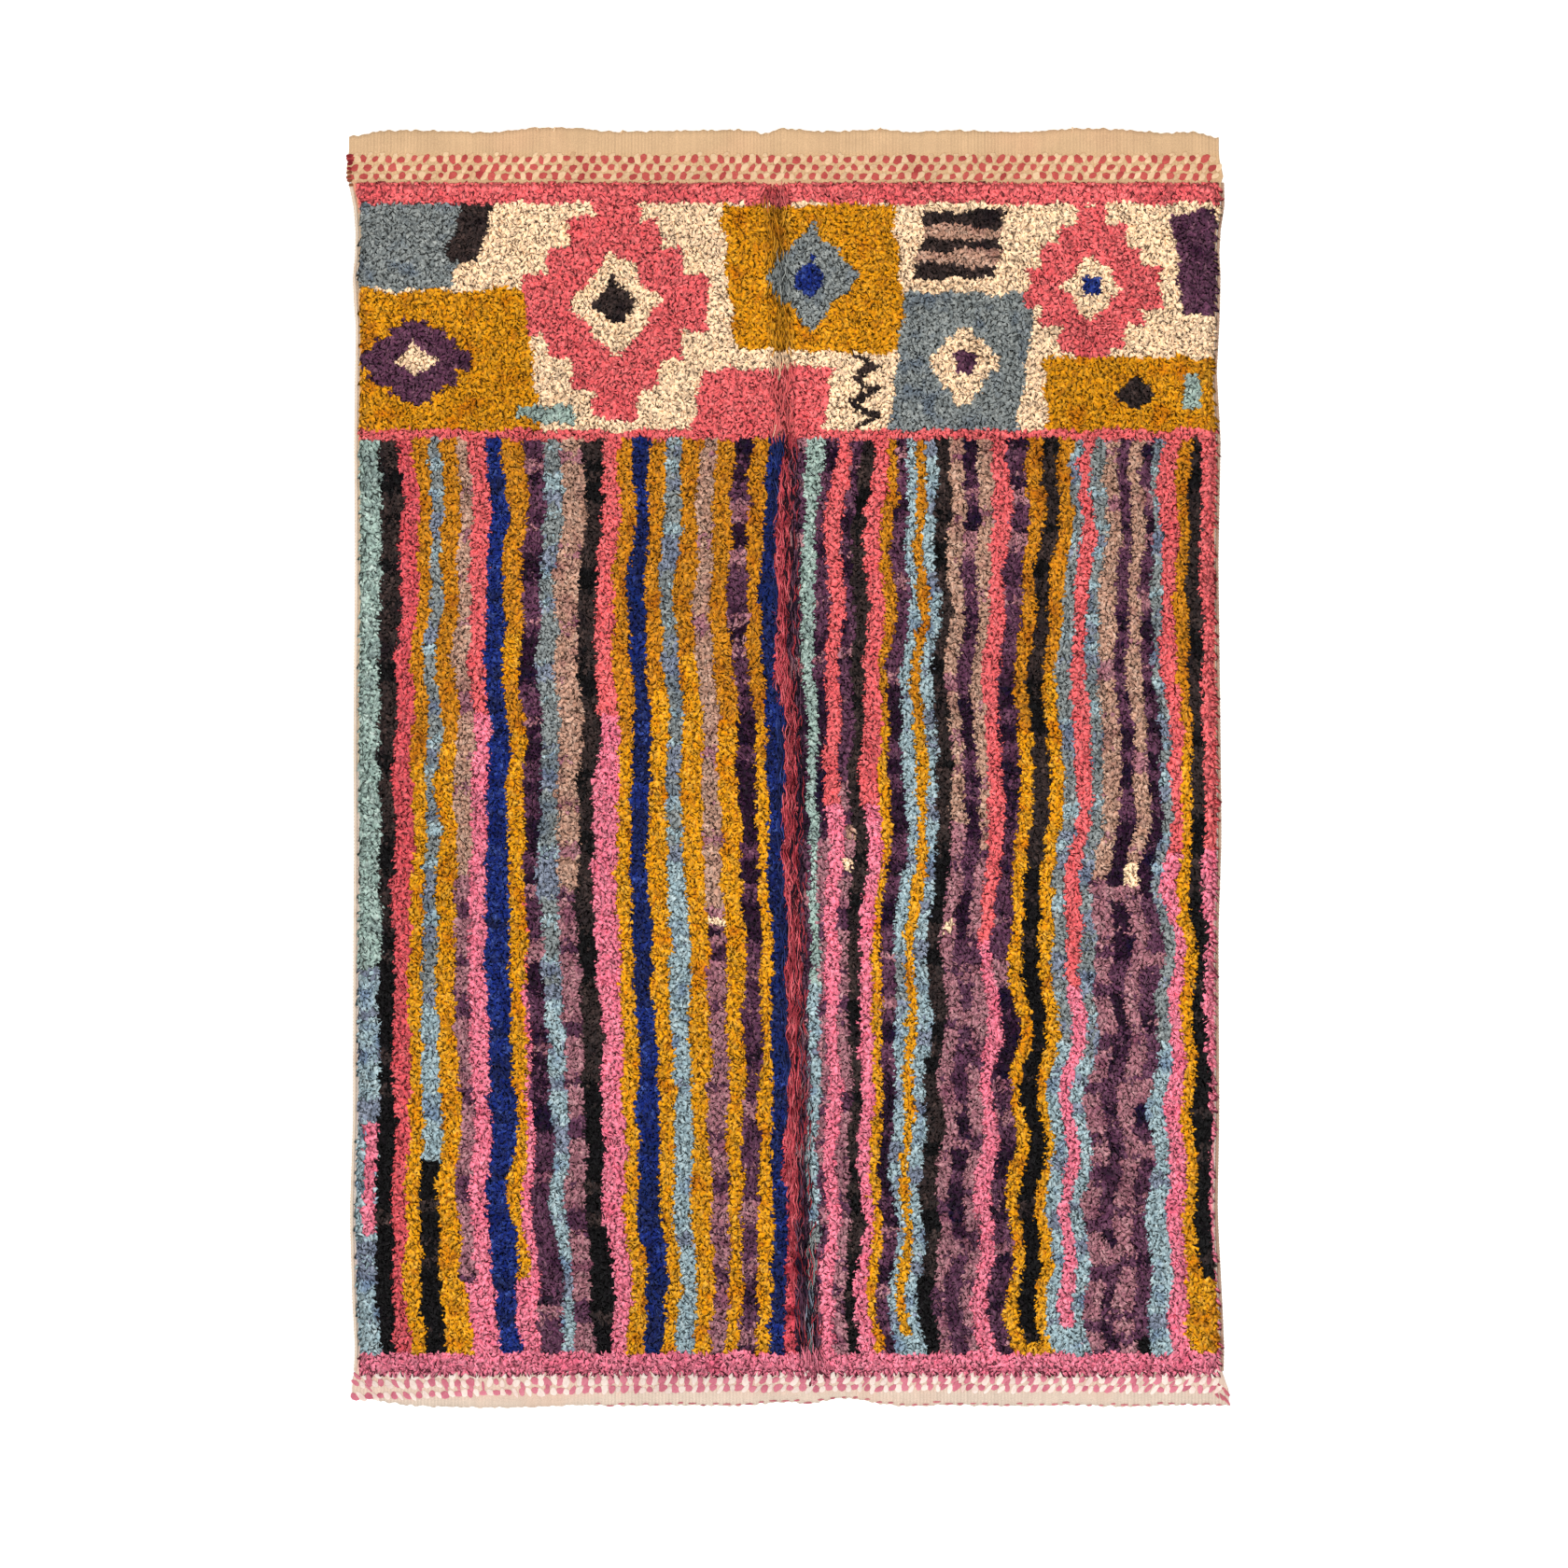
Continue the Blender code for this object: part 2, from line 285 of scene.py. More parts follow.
# each yarn's darkest strands, body, lightest strands, and a second dye lot that drifts in; the
# darkest and lightest are partly the wool's own and partly painted shade between strands and
# painted highlights
yarns = {
    "cream": ((241, 204, 163), (249, 215, 178), (253, 225, 192), (245, 209, 169)),
    "pink": ((214, 79, 86), (238, 108, 111), (248, 137, 138), (227, 95, 100)),
    "rose": ((220, 91, 117), (245, 131, 154), (254, 165, 183), (238, 111, 138)),
    "coral": ((172, 46, 58), (224, 90, 98), (243, 124, 128), (230, 105, 115)),
    "coralRed": ((88, 14, 28), (226, 84, 98), (252, 152, 158), (140, 30, 46)),
    "mustard": ((196, 105, 4), (229, 159, 14), (243, 192, 86), (212, 129, 8)),
    "ochre": ((172, 99, 6), (222, 151, 15), (237, 180, 59), (204, 122, 8)),
    "amber": ((150, 84, 8), (208, 136, 24), (226, 164, 62), (184, 106, 14)),
    "greyBlue": ((76, 86, 91), (138, 145, 145), (183, 188, 185), (108, 120, 133)),
    "lightBlue": ((99, 124, 137), (163, 186, 192), (207, 218, 217), (118, 139, 167)),
    "duskBlue": ((72, 80, 101), (133, 142, 160), (178, 184, 196), (105, 116, 140)),
    "mint": ((99, 122, 114), (163, 186, 177), (205, 217, 209), (137, 154, 150)),
    "royal": ((8, 14, 58), (22, 42, 122), (86, 112, 184), (12, 26, 92)),
    "navy": ((8, 10, 40), (17, 28, 84), (66, 84, 146), (20, 42, 108)),
    "plum": ((39, 14, 33), (97, 56, 82), (149, 106, 122), (53, 23, 48)),
    "aubergine": ((11, 2, 15), (37, 12, 37), (92, 55, 81), (22, 9, 44)),
    "mauve": ((97, 47, 64), (171, 115, 125), (211, 168, 168), (133, 78, 98)),
    "taupe": ((125, 84, 66), (194, 152, 131), (230, 201, 180), (169, 122, 112)),
    "charcoal": ((12, 8, 8), (50, 39, 38), (101, 81, 76), (32, 22, 27)),
    "black": ((2, 2, 3), (9, 7, 8), (33, 27, 32), (14, 10, 15)),
}
yarnNames = list(yarns)
brightness = np.array([sum(linear(shades[1])) / 3 for shades in yarns.values()])

# where each part of the pattern lies, and how unevenly
layout = {
    "panelTop": 1.300,
    "panelBottom": 0.779,
    "lineBottom": 0.758,  # the thin pink line under the panel
    "stripesBottom": -1.349,
    "edgeWave": 0.0035,
    "edgeWaveLength": 0.11,
    "sway": 0.0055,  # neighbouring stripes swing together, more so right of the crease
    "swayRight": 0.0070,
    "swayLength": 0.34,
    "swayFade": 0.12,
    "swayStretch": 2,  # the swing is this much longer across than along
    "creaseSway": 0.02,  # so the stripes at the crease swing a little too
    "wanderLength": 0.26,
    "wander": 0.0034,
    "shiverLength": 0.062,
    "shiver": 0.0030,
    "thinnest": 0.001,  # where a stripe runs out
    "fullStripe": 0.020,  # a stripe at least this wide has edges that wander freely
    "changeWave": 0.004,
    "amberRun": 0.30,  # down to this share of the stripes the mustard is browner
    "amberWave": 0.05,
    "leftOfCrease": 26,  # this many stripes lie left of the crease's red one
    "patchLength": 0.085,
    "patchStride": 3.7,  # keeps the patches of neighbouring stripes apart
    "patchEdge": 0.30,
    "patchEdgeLength": 0.014,
}

creaseStripe = {  # the left edge of the red stripe in the crease
    "y": (-1.350, -1.220, -0.520, -0.220, -0.020, 0.120, 0.255, 0.500, 0.740),
    "x": (-0.007, -0.007, -0.003, -0.011, -0.011, -0.013, -0.033, -0.026, -0.018),
}

stripeRuns = (0.026, 0.50, 0.94)  # shares of the stripes' length where the widths below are given

# yarn, and its width in millimetres near the panel, halfway, and near the bottom
stripes = (
    ("mint", 45, 47, 41), ("charcoal", 49, 32, 41), ("coral", 39, 37, 28),
    ("mustard", 32, 30, 38), ("greyBlue", 26, 28, 52), ("mustard", 39, 39, 45),
    ("taupe", 34, 34, 34), ("pink", 37, 38, 41), ("royal", 39, 53, 53),
    ("mustard", 43, 37, 24), ("pink", 0, 0, 24), ("plum", 47, 34, 52),
    ("greyBlue", 41, 43, 24), ("taupe", 47, 49, 40), ("charcoal", 43, 40, 46),
    ("pink", 32, 56, 41), ("mustard", 37, 30, 34), ("navy", 39, 46, 54),
    ("mustard", 34, 40, 29), ("greyBlue", 37, 36, 40), ("mustard", 45, 46, 41),
    ("taupe", 37, 40, 38), ("mustard", 43, 45, 28), ("plum", 43, 40, 38),
    ("mustard", 37, 23, 34), ("navy", 30, 36, 32), ("coralRed", 32, 33, 26),
    ("plum", 30, 24, 22), ("mint", 36, 18, 23), ("plum", 30, 19, 15),
    ("pink", 36, 33, 32), ("plum", 22, 23, 28), ("charcoal", 30, 27, 30),
    ("pink", 31, 33, 24), ("mustard", 25, 20, 24), ("plum", 32, 32, 36),
    ("lightBlue", 19, 28, 17), ("mustard", 27, 26, 27), ("lightBlue", 22, 25, 23),
    ("charcoal", 31, 34, 40), ("taupe", 32, 31, 26), ("plum", 31, 34, 37),
    ("taupe", 32, 26, 28), ("pink", 37, 33, 28), ("plum", 42, 42, 40),
    ("mustard", 31, 28, 25), ("charcoal", 33, 44, 37), ("mustard", 31, 31, 25),
    ("greyBlue", 22, 32, 28), ("pink", 32, 36, 27), ("greyBlue", 28, 30, 30),
    ("taupe", 38, 34, 41), ("plum", 25, 36, 39), ("taupe", 29, 29, 44),
    ("plum", 28, 34, 37), ("greyBlue", 19, 23, 52), ("pink", 38, 25, 41),
    ("mustard", 26, 26, 28), ("charcoal", 27, 34, 34), ("pink", 27, 22, 0),
)

# where a stripe goes on in another yarn: stripe, start and end along it, the yarn, and where it
# doesn't take the whole width, from which share of it to which
stripeChanges = (
    (7, 0.30, 1.00, "rose"), (15, 0.30, 1.00, "rose"), (30, 0.40, 1.00, "rose"),
    (33, 0.40, 1.00, "rose"), (56, 0.45, 1.00, "rose"), (59, 0.45, 1.00, "rose"),
    (43, 0.55, 1.00, "rose"), (49, 0.60, 1.00, "rose"), (0, 0.58, 1.00, "lightBlue"),
    (0, 0.750, 0.870, "rose", 0.36, 0.95), (1, 0.54, 1.00, "black"), (4, 0.62, 0.79, "lightBlue"),
    (4, 0.79, 1.00, "black"), (6, 0.47, 0.92, "mauve"), (6, 0.92, 1.00, "mustard", 0.0, 0.5),
    (6, 0.92, 1.00, "rose", 0.5, 1.0), (9, 0.92, 1.00, "rose"), (10, 0.60, 1.00, "rose"),
    (11, 0.32, 0.49, "aubergine"), (11, 0.70, 0.76, "aubergine"), (12, 0.60, 1.00, "lightBlue"),
    (13, 0.49, 1.00, "mauve"), (14, 0.55, 0.59, "black"), (14, 0.73, 1.00, "black"),
    (17, 0.46, 0.474, "royal"), (17, 0.62, 0.80, "royal"), (19, 0.46, 1.00, "lightBlue"),
    (21, 0.515, 1.00, "mauve"), (21, 0.525, 0.533, "cream"), (21, 0.536, 0.545, "plum"),
    (23, 0.28, 0.55, "aubergine"), (27, 0.27, 0.45, "aubergine"), (28, 0.60, 0.86, "lightBlue"),
    (28, 0.86, 1.00, "greyBlue"), (29, 0.27, 0.44, "aubergine"), (29, 0.44, 0.80, "mauve"),
    (31, 0.38, 1.00, "mauve"), (31, 0.425, 0.445, "taupe", 0.2, 1.0),
    (31, 0.458, 0.472, "cream", 0.1, 0.8), (32, 0.89, 1.00, "black"),
    (35, 0.27, 0.56, "aubergine"), (35, 0.70, 0.80, "aubergine"), (36, 0.56, 0.62, "greyBlue"),
    (37, 0.98, 1.00, "lightBlue"), (39, 0.47, 0.53, "black"), (39, 0.89, 1.00, "black"),
    (40, 0.42, 1.00, "mauve"), (40, 0.528, 0.542, "cream", 0.2, 0.8),
    (41, 0.27, 0.56, "aubergine"), (41, 0.78, 0.86, "aubergine"), (42, 0.45, 1.00, "mauve"),
    (44, 0.27, 0.45, "aubergine"), (44, 0.60, 0.68, "aubergine"), (46, 0.47, 0.99, "black"),
    (46, 0.99, 1.00, "mustard"), (48, 0.66, 1.00, "lightBlue"), (49, 0.974, 1.00, "lightBlue"),
    (50, 0.70, 1.00, "lightBlue"), (51, 0.48, 1.00, "mauve"), (52, 0.27, 0.49, "aubergine"),
    (52, 0.66, 0.74, "aubergine"), (53, 0.462, 0.49, "cream"), (53, 0.49, 1.00, "mauve"),
    (54, 0.27, 0.50, "aubergine"), (54, 0.98, 1.00, "black"), (55, 0.66, 1.00, "lightBlue"),
    (58, 0.48, 0.92, "black"), (58, 0.92, 1.00, "mustard"),
)

# a yarn that gives way to another for short lengths: yarn, the other, and how rarely
patches = (
    ("plum", "aubergine", 0.43), ("plum", "mauve", 0.86), ("aubergine", "plum", 0.28),
    ("charcoal", "black", 0.52), ("black", "charcoal", 0.95), ("mauve", "plum", 0.62),
    ("taupe", "mauve", 0.90), ("greyBlue", "duskBlue", 0.45), ("lightBlue", "duskBlue", 0.82),
    ("royal", "navy", 0.55), ("navy", "royal", 0.60), ("greyBlue", "lightBlue", 0.85),
)

panelWobble = {"length": 0.07, "size": 0.006}

# a plain patchwork of village motifs, painted in this order: shape, yarn, centre x and y, width,
# height, and how far it leans across per metre
panelShapes = (
    ("block", "cream", 0.0, 1.040, 2.30, 0.56, 0.0),
    ("block", "greyBlue", -0.900, 1.205, 0.300, 0.200, 0.35),
    ("block", "charcoal", -0.735, 1.235, 0.075, 0.130, 0.35),
    ("block", "ochre", -0.850, 0.935, 0.520, 0.330, -0.10),
    ("steps", "plum", -0.860, 0.940, 0.260, 0.200, 0.0),
    ("lozenge", "cream", -0.860, 0.940, 0.110, 0.080, 0.0),
    ("steps", "pink", -0.400, 1.070, 0.420, 0.520, 0.0),
    ("lozenge", "cream", -0.400, 1.070, 0.220, 0.250, 0.0),
    ("lozenge", "charcoal", -0.400, 1.070, 0.100, 0.115, 0.0),
    ("block", "mint", -0.560, 0.815, 0.130, 0.034, 0.0),
    ("block", "ochre", 0.060, 1.130, 0.400, 0.340, -0.12),
    ("lozenge", "greyBlue", 0.050, 1.130, 0.220, 0.250, 0.0),
    ("lozenge", "royal", 0.050, 1.130, 0.085, 0.100, 0.0),
    ("block", "pink", -0.060, 0.850, 0.300, 0.150, 0.20),
    ("zigzag", "charcoal", 0.175, 0.870, 0.030, 0.170, 0.0),
    ("block", "greyBlue", 0.400, 0.935, 0.300, 0.320, 0.12),
    ("steps", "cream", 0.405, 0.930, 0.160, 0.170, 0.0),
    ("block", "plum", 0.405, 0.930, 0.050, 0.046, 0.0),
    ("block", "taupe", 0.395, 1.205, 0.190, 0.150, 0.20),
    ("rungs", "charcoal", 0.395, 1.205, 0.190, 0.150, 0.20),
    ("steps", "pink", 0.700, 1.110, 0.310, 0.380, 0.0),
    ("lozenge", "cream", 0.700, 1.110, 0.140, 0.160, 0.0),
    ("block", "royal", 0.700, 1.110, 0.046, 0.048, 0.0),
    ("block", "ochre", 0.870, 0.860, 0.560, 0.170, 0.0),
    ("lozenge", "charcoal", 0.800, 0.862, 0.090, 0.090, 0.0),
    ("block", "mint", 0.930, 0.868, 0.044, 0.080, 0.0),
    ("block", "plum", 0.950, 1.160, 0.110, 0.240, -0.15),
)
motifs = {"steps": 4, "zigzagPitch": 0.058, "zigzagSwing": 0.024, "rungs": 3}


def insideMotif(shape, across, along, width, height):
    a = np.abs(across) / (width / 2)
    b = np.abs(along) / (height / 2)
    if shape == "block":
        return (a < 1) & (b < 1)
    if shape == "lozenge":
        return a + b < 1
    if shape == "steps":
        return a < 1 - np.floor(b * motifs["steps"]) / motifs["steps"]
    if shape == "zigzag":
        swing = np.abs((along / motifs["zigzagPitch"]) % 1.0 - 0.5) * 4 - 1
        return (np.abs(across - motifs["zigzagSwing"] * swing) < width / 2) & (b < 1)
    rung = np.floor((along / height + 0.5) * (2 * motifs["rungs"] - 1))
    return (a < 1) & (b < 1) & (rung % 2 == 0)


def panelYarn(x, y):
    wobbleX = panelWobble["size"] * waves(x, y, panelWobble["length"], seed=41)
    wobbleY = panelWobble["size"] * waves(x, y, panelWobble["length"], seed=42)
    chosen = np.zeros(len(x), int)
    for shape, yarn, centreX, centreY, width, height, lean in panelShapes:
        along = y + wobbleY - centreY
        across = x + wobbleX - centreX - lean * along
        inside = insideMotif(shape, across, along, width, height)
        chosen[inside] = yarnNames.index(yarn)
    return chosen


def stripeYarn(x, y):
    length = layout["lineBottom"] - layout["stripesBottom"]
    run = np.clip((layout["lineBottom"] - y) / length, 0, 1)
    run = run + layout["changeWave"] * waves(x, y, layout["wanderLength"], seed=50)
    left, right = pileLeft(y), pileRight(y)
    anchor = np.interp(y, creaseStripe["y"], creaseStripe["x"])
    nearest = np.minimum(x - left, right - x)
    nearest = np.minimum(nearest, layout["creaseSway"] + np.abs(x - anchor))
    fade = np.clip(nearest / layout["swayFade"], 0, 1)
    swing = layout["sway"] + layout["swayRight"] * np.clip(x / layout["swayFade"], 0, 1)
    x = x + fade * swing * waves(x / layout["swayStretch"], y, layout["swayLength"], seed=70)
    widths = [np.interp(run, stripeRuns, stripe[1:]) / 1000 for stripe in stripes]
    split = layout["leftOfCrease"]
    stretches = ((anchor - left) / sum(widths[:split]), (right - anchor) / sum(widths[split:]))
    widths = [width * stretches[place >= split] for place, width in enumerate(widths)]
    number = np.zeros(len(x), int)
    start = left.copy()
    lastEdge, lastBend = left.copy(), np.zeros(len(x))
    for place, width in enumerate(widths[:-1]):
        start = start + width
        bend = layout["wander"] * waves(0, y, layout["wanderLength"], seed=100 + place)
        bend = bend + layout["shiver"] * waves(0, y, layout["shiverLength"], seed=200 + place)
        free = np.clip(width / layout["fullStripe"], 0, 1)
        bend = lastBend * (1 - free) + bend * free
        passed = x > start + bend
        number = np.where(passed, place + 1, number)
        lastEdge = np.where(passed, start + bend, lastEdge)
        lastBend = bend
    own = np.array(widths)[number, np.arange(len(x))]
    share = (x - lastEdge) / np.maximum(own, layout["thinnest"])
    chosen = np.array([yarnNames.index(stripe[0]) for stripe in stripes])[number]
    for stripe, begin, end, yarn, *sides in stripeChanges:
        inside = (number == stripe) & (run >= begin) & (run <= end if end < 1 else True)
        if sides:
            inside &= (share >= sides[0] if sides[0] > 0 else True)
            inside &= (share <= sides[1] if sides[1] < 1 else True)
        chosen[inside] = yarnNames.index(yarn)
    swell = layout["amberWave"] * waves(x, y, layout["wanderLength"], seed=60)
    browner = (run < layout["amberRun"] + swell) & (chosen == yarnNames.index("mustard"))
    chosen[browner] = yarnNames.index("amber")
    tied = chosen.copy()
    for place, (yarn, other, rarely) in enumerate(patches):
        level = waves(number * layout["patchStride"], y, layout["patchLength"], seed=300 + place)
        level = level + layout["patchEdge"] * waves(x, y, layout["patchEdgeLength"], seed=330)
        chosen[(tied == yarnNames.index(yarn)) & (level > rarely)] = yarnNames.index(other)
    return chosen


def yarnAt(x, y):
    edge = y + layout["edgeWave"] * waves(x, 0, layout["edgeWaveLength"], seed=60)
    line = y + layout["edgeWave"] * waves(x, 0, layout["edgeWaveLength"], seed=61)
    chosen = np.full(len(x), yarnNames.index("pink"))
    chosen[y < 0] = yarnNames.index("rose")
    panel = (edge < layout["panelTop"]) & (edge > layout["panelBottom"])
    field = (line < layout["lineBottom"]) & (edge > layout["stripesBottom"])
    chosen[panel] = panelYarn(x[panel], y[panel])
    chosen[field] = stripeYarn(x[field], y[field])
    return chosen


# one recipe of wool, dyed differently for each yarn
wool = {
    "strandScale": 330,  # fine light and dark strands, partly the wool's own and partly painted shade between strands and painted highlights
    "strandShare": 0.27,
    "fleckScale": 120,
    "fleckShare": 0.16,
    "lockShare": 0.28,
    "toneLift": 0.145,
    "toneStops": (0.22, 0.50, 0.80),  # darkest, body, lightest
    "lotScale": 17,  # drifting second dye lot
    "lotEdge": (0.54, 0.68),
    "abrashScale": 1.7,  # slow change of depth over the whole rug
    "abrashEdge": (0.35, 0.65),
    "abrash": (0.742, 0.880),
    "valleyShade": 1.36,  # between the tips, where light yarns light one another
    "valleyShades": {"wool_cream": 1.60},  # the palest yarn lights its valleys the most
    "valleyHeight": 0.42,
    "tipShade": 0.93,
    "fibreScale": 900,
    "fibreDepth": 0.0006,
    "roughness": 0.92,
    "sheen": 0.04,
    "sheenRoughness": 0.5,
    "specular": 0.06,
}


def feed(tree, socket, value):  # from another node's output, or a fixed value
    if isinstance(value, bpy.types.NodeSocket):
        tree.links.new(value, socket)
    else:
        socket.default_value = value


def addNode(tree, kind, **inputs):
    node = tree.nodes.new(kind)
    for name, value in inputs.items():
        feed(tree, node.inputs[name], value)
    return node


def noiseNode(tree, place, scale, detail):
    node = addNode(tree, "ShaderNodeTexNoise", Vector=place, Scale=scale, Detail=detail)
    return node.outputs[0]


def mathNode(tree, operation, first, second):
    node = tree.nodes.new("ShaderNodeMath")
    node.operation = operation
    for socket, value in zip(node.inputs, (first, second)):
        feed(tree, socket, value)
    return node.outputs[0]


def mixNode(tree, share, first, second, blend="MIX"):
    node = tree.nodes.new("ShaderNodeMix")
    node.data_type = "RGBA"
    node.blend_type = blend
    for index, value in ((0, share), (6, first), (7, second)):  # the sockets for colours
        feed(tree, node.inputs[index], value)
    return node.outputs[2]


def rangeNode(tree, value, fromLow, fromHigh, toLow, toHigh):
    node = addNode(tree, "ShaderNodeMapRange", Value=value)
    node.inputs["From Min"].default_value = fromLow
    node.inputs["From Max"].default_value = fromHigh
    node.inputs["To Min"].default_value = toLow
    node.inputs["To Max"].default_value = toHigh
    return node.outputs[0]


def rampNode(tree, value, stops):
    node = addNode(tree, "ShaderNodeValToRGB", Fac=value)
    ramp = node.color_ramp
    for number, (place, colour) in enumerate(stops):
        stop = ramp.elements[number] if number < 2 else ramp.elements.new(place)
        stop.position = place
        stop.color = (*linear(colour), 1)
    return node.outputs[0]


def attributeNode(tree, name, output):
    node = tree.nodes.new("ShaderNodeAttribute")
    node.attribute_name = name
    return node.outputs[output]


def startMaterial(name):
    material = bpy.data.materials.new(name)
    material.use_nodes = True
    tree = material.node_tree
    shader = tree.nodes["Principled BSDF"]
    shader.inputs["Roughness"].default_value = wool["roughness"]
    shader.inputs["Specular IOR Level"].default_value = wool["specular"]
    shader.inputs["Sheen Weight"].default_value = wool["sheen"]
    shader.inputs["Sheen Roughness"].default_value = wool["sheenRoughness"]
    place = tree.nodes.new("ShaderNodeTexCoord").outputs["Object"]
    return material, tree, shader, place


def finishMaterial(tree, shader, colour, level, relief, depth):
    grey = addNode(tree, "ShaderNodeCombineColor", Red=level, Green=level, Blue=level).outputs[0]
    feed(tree, shader.inputs["Base Color"], mixNode(tree, 1.0, colour, grey, "MULTIPLY"))
    bump = addNode(tree, "ShaderNodeBump", Height=relief, Distance=depth)
    feed(tree, shader.inputs["Normal"], bump.outputs[0])


def woolMaterial(name, shades):
    material, tree, shader, place = startMaterial(name)
    deep, body, light, lot = shades
    strand = noiseNode(tree, place, wool["strandScale"], detail=2.0)
    fleck = noiseNode(tree, place, wool["fleckScale"], detail=1.0)
    tone = mathNode(tree, "MULTIPLY", attributeNode(tree, "lockTone", "Fac"), wool["lockShare"])
    for noise, part in ((strand, wool["strandShare"]), (fleck, wool["fleckShare"])):
        tone = mathNode(tree, "ADD", tone, mathNode(tree, "MULTIPLY", noise, part))
    tone = mathNode(tree, "ADD", tone, wool["toneLift"])
    # the random tone and fine noise pick the darkest and lightest shades: partly the wool's own
    # strands, partly painted shade between strands and painted highlights
    dyed = rampNode(tree, tone, zip(wool["toneStops"], (deep, body, light)))
    second = rampNode(tree, tone, zip(wool["toneStops"], (deep, lot, body)))
    drift = noiseNode(tree, place, wool["lotScale"], detail=3.0)
    share = rangeNode(tree, drift, *wool["lotEdge"], 0.0, 1.0)
    colour = mixNode(tree, share, dyed, second)
    abrash = noiseNode(tree, place, wool["abrashScale"], detail=2.0)
    level = rangeNode(tree, abrash, *wool["abrashEdge"], *wool["abrash"])
    height = attributeNode(tree, "lockHeight", "Fac")
    valley = wool["valleyShades"].get(name, wool["valleyShade"])
    lit = rangeNode(tree, height, wool["valleyHeight"], 1.0, valley, wool["tipShade"])
    level = mathNode(tree, "MULTIPLY", level, lit)
    fibre = noiseNode(tree, place, wool["fibreScale"], detail=2.0)
    finishMaterial(tree, shader, colour, level, fibre, wool["fibreDepth"])
    return material


yarnMaterials = {}


def yarnMaterial(name):
    if name not in yarnMaterials:
        yarnMaterials[name] = woolMaterial("wool_" + name, yarns[name])
    return yarnMaterials[name]


# the pile: a lock of wool, repeated over the whole knotted field
pile = {
    "pitch": 0.0066,
    "jitter": 0.0022,
    "rootRadius": 0.0118,
    "rimRadius": 0.0060,  # slimmer at the rim, where nothing hides the foot
    "tipRadius": 0.0043,
    "footZ": 0.0036,
    "innerFootZ": 0.0115,  # away from the rim the locks stand on the dense body of the pile
    "lean": 0.0115,
    "leanSpread": 0.0042,
    "turn": 34,  # degrees by which the nap strays from straight down the rug
    "napLength": 0.16,
    "curl": 30,
    "curlSpread": 0.8,
    "curlLength": 0.020,
    "clump": 0.0026,
    "clumpLength": 0.017,
    "lowest": 0.012,  # the pile is never taken to be lower than this
    "topDrop": 0.0022,
    "rowPitch": 0.0215,  # faint ripples across the rug, where rows of knots lie over one another
    "rowDip": 0.0010,
    "rowShade": 0.11,
    # painted shade: locks in the ripples' troughs are coloured darker, those on their crests
    # lighter
    "rowLean": 0.0022,
    "rowWaver": 0.30,
    "rowDrift": 1.6,
    "rowPatch": 0.24,
    "rowShow": 0.4,
    "topSpread": 0.0009,
    "rimReach": 0.013,
    "rimLean": {"left": 0.008, "right": 0.0165, "top": 0.008, "bottom": 0.016},
    "creaseLean": 0.024,
    "creaseLeanShare": (0.3, 1.0),
    "creaseCalm": 0.6,
    "creaseThin": 0.7,
    "creaseDrop": 0.0035,
    "spill": 0.0074,  # a light lock beside a darker stripe leans this far over it
    "spillFrom": 0.0065,
    "spillContrast": 0.06,
    "spillShare": 0.62,
    "spillReach": (0.6, 1.2),
    "spillCalm": 0.45,
    "spillThin": 0.52,
    "spillRise": 0.0008,
    "toneMiddle": 0.5,
    "toneSpread": 0.18,
    "girth": (0.85, 1.15),
    "blotch": 0.14,
    "blotchLength": 0.030,
    "seeFrom": 0.6,  # the pattern is read this far along a lock's lean
}


def makeLock():  # three-sided tuft with a blunt, chisel-like tip, one unit high
    bm = bmesh.new()
    bmesh.ops.create_cone(bm, cap_ends=True, segments=3, radius1=1, radius2=1, depth=1)
    bmesh.ops.translate(bm, vec=(0, 0, 0.5), verts=bm.verts)
    tips = sorted((v for v in bm.verts if v.co.z > 0.5), key=lambda v: (round(v.co.x, 3), v.co.y))
    middle = (tips[0].co + tips[1].co) / 2
    bmesh.ops.pointmerge(bm, verts=tips[:2], merge_co=middle)
    bmesh.ops.triangulate(bm, faces=bm.faces)
    bmesh.ops.recalc_face_normals(bm, faces=bm.faces)
    return shapeTables(bm)


def bakeCells(count, faceCount):  # a small square of the map for each lock, cut in one strip a face
    side = math.ceil(math.sqrt(count))
    cell = np.stack((np.arange(count) % side, np.arange(count) // side), axis=1) / side
    strip = np.array(((0.08, 0.08), (0.92, 0.08), (0.50, 0.92)))
    strips = np.array([(strip + (face, 0)) / (faceCount, 1) for face in range(faceCount)])
    return (cell[:, None, None, :] + strips[None] / side).reshape(-1, 2)


def joinedMesh(name, shapes, faces, points):  # many copies of one shape in one mesh
    count, cornerCount = shapes.shape[:2]
    allFaces = (faces[None] + cornerCount * np.arange(count)[:, None, None]).reshape(-1, 3)
    mesh = bpy.data.meshes.new(name)
    mesh.vertices.add(count * cornerCount)
    mesh.vertices.foreach_set("co", shapes.reshape(-1).astype(np.float32))
    mesh.loops.add(len(allFaces) * 3)
    mesh.loops.foreach_set("vertex_index", allFaces.reshape(-1).astype(np.int32))
    mesh.polygons.add(len(allFaces))
    mesh.polygons.foreach_set("loop_start", np.arange(0, len(allFaces) * 3, 3, dtype=np.int32))
    mesh.update(calc_edges=True)
    cells = bakeCells(count, len(faces)).reshape(-1)
    mesh.uv_layers.new(name="OFBake").data.foreach_set("uv", cells)
    for key, values in points.items():
        attribute = mesh.attributes.new(key, "FLOAT", "POINT")
        attribute.data.foreach_set("value", values.reshape(-1).astype(np.float32))
    return mesh


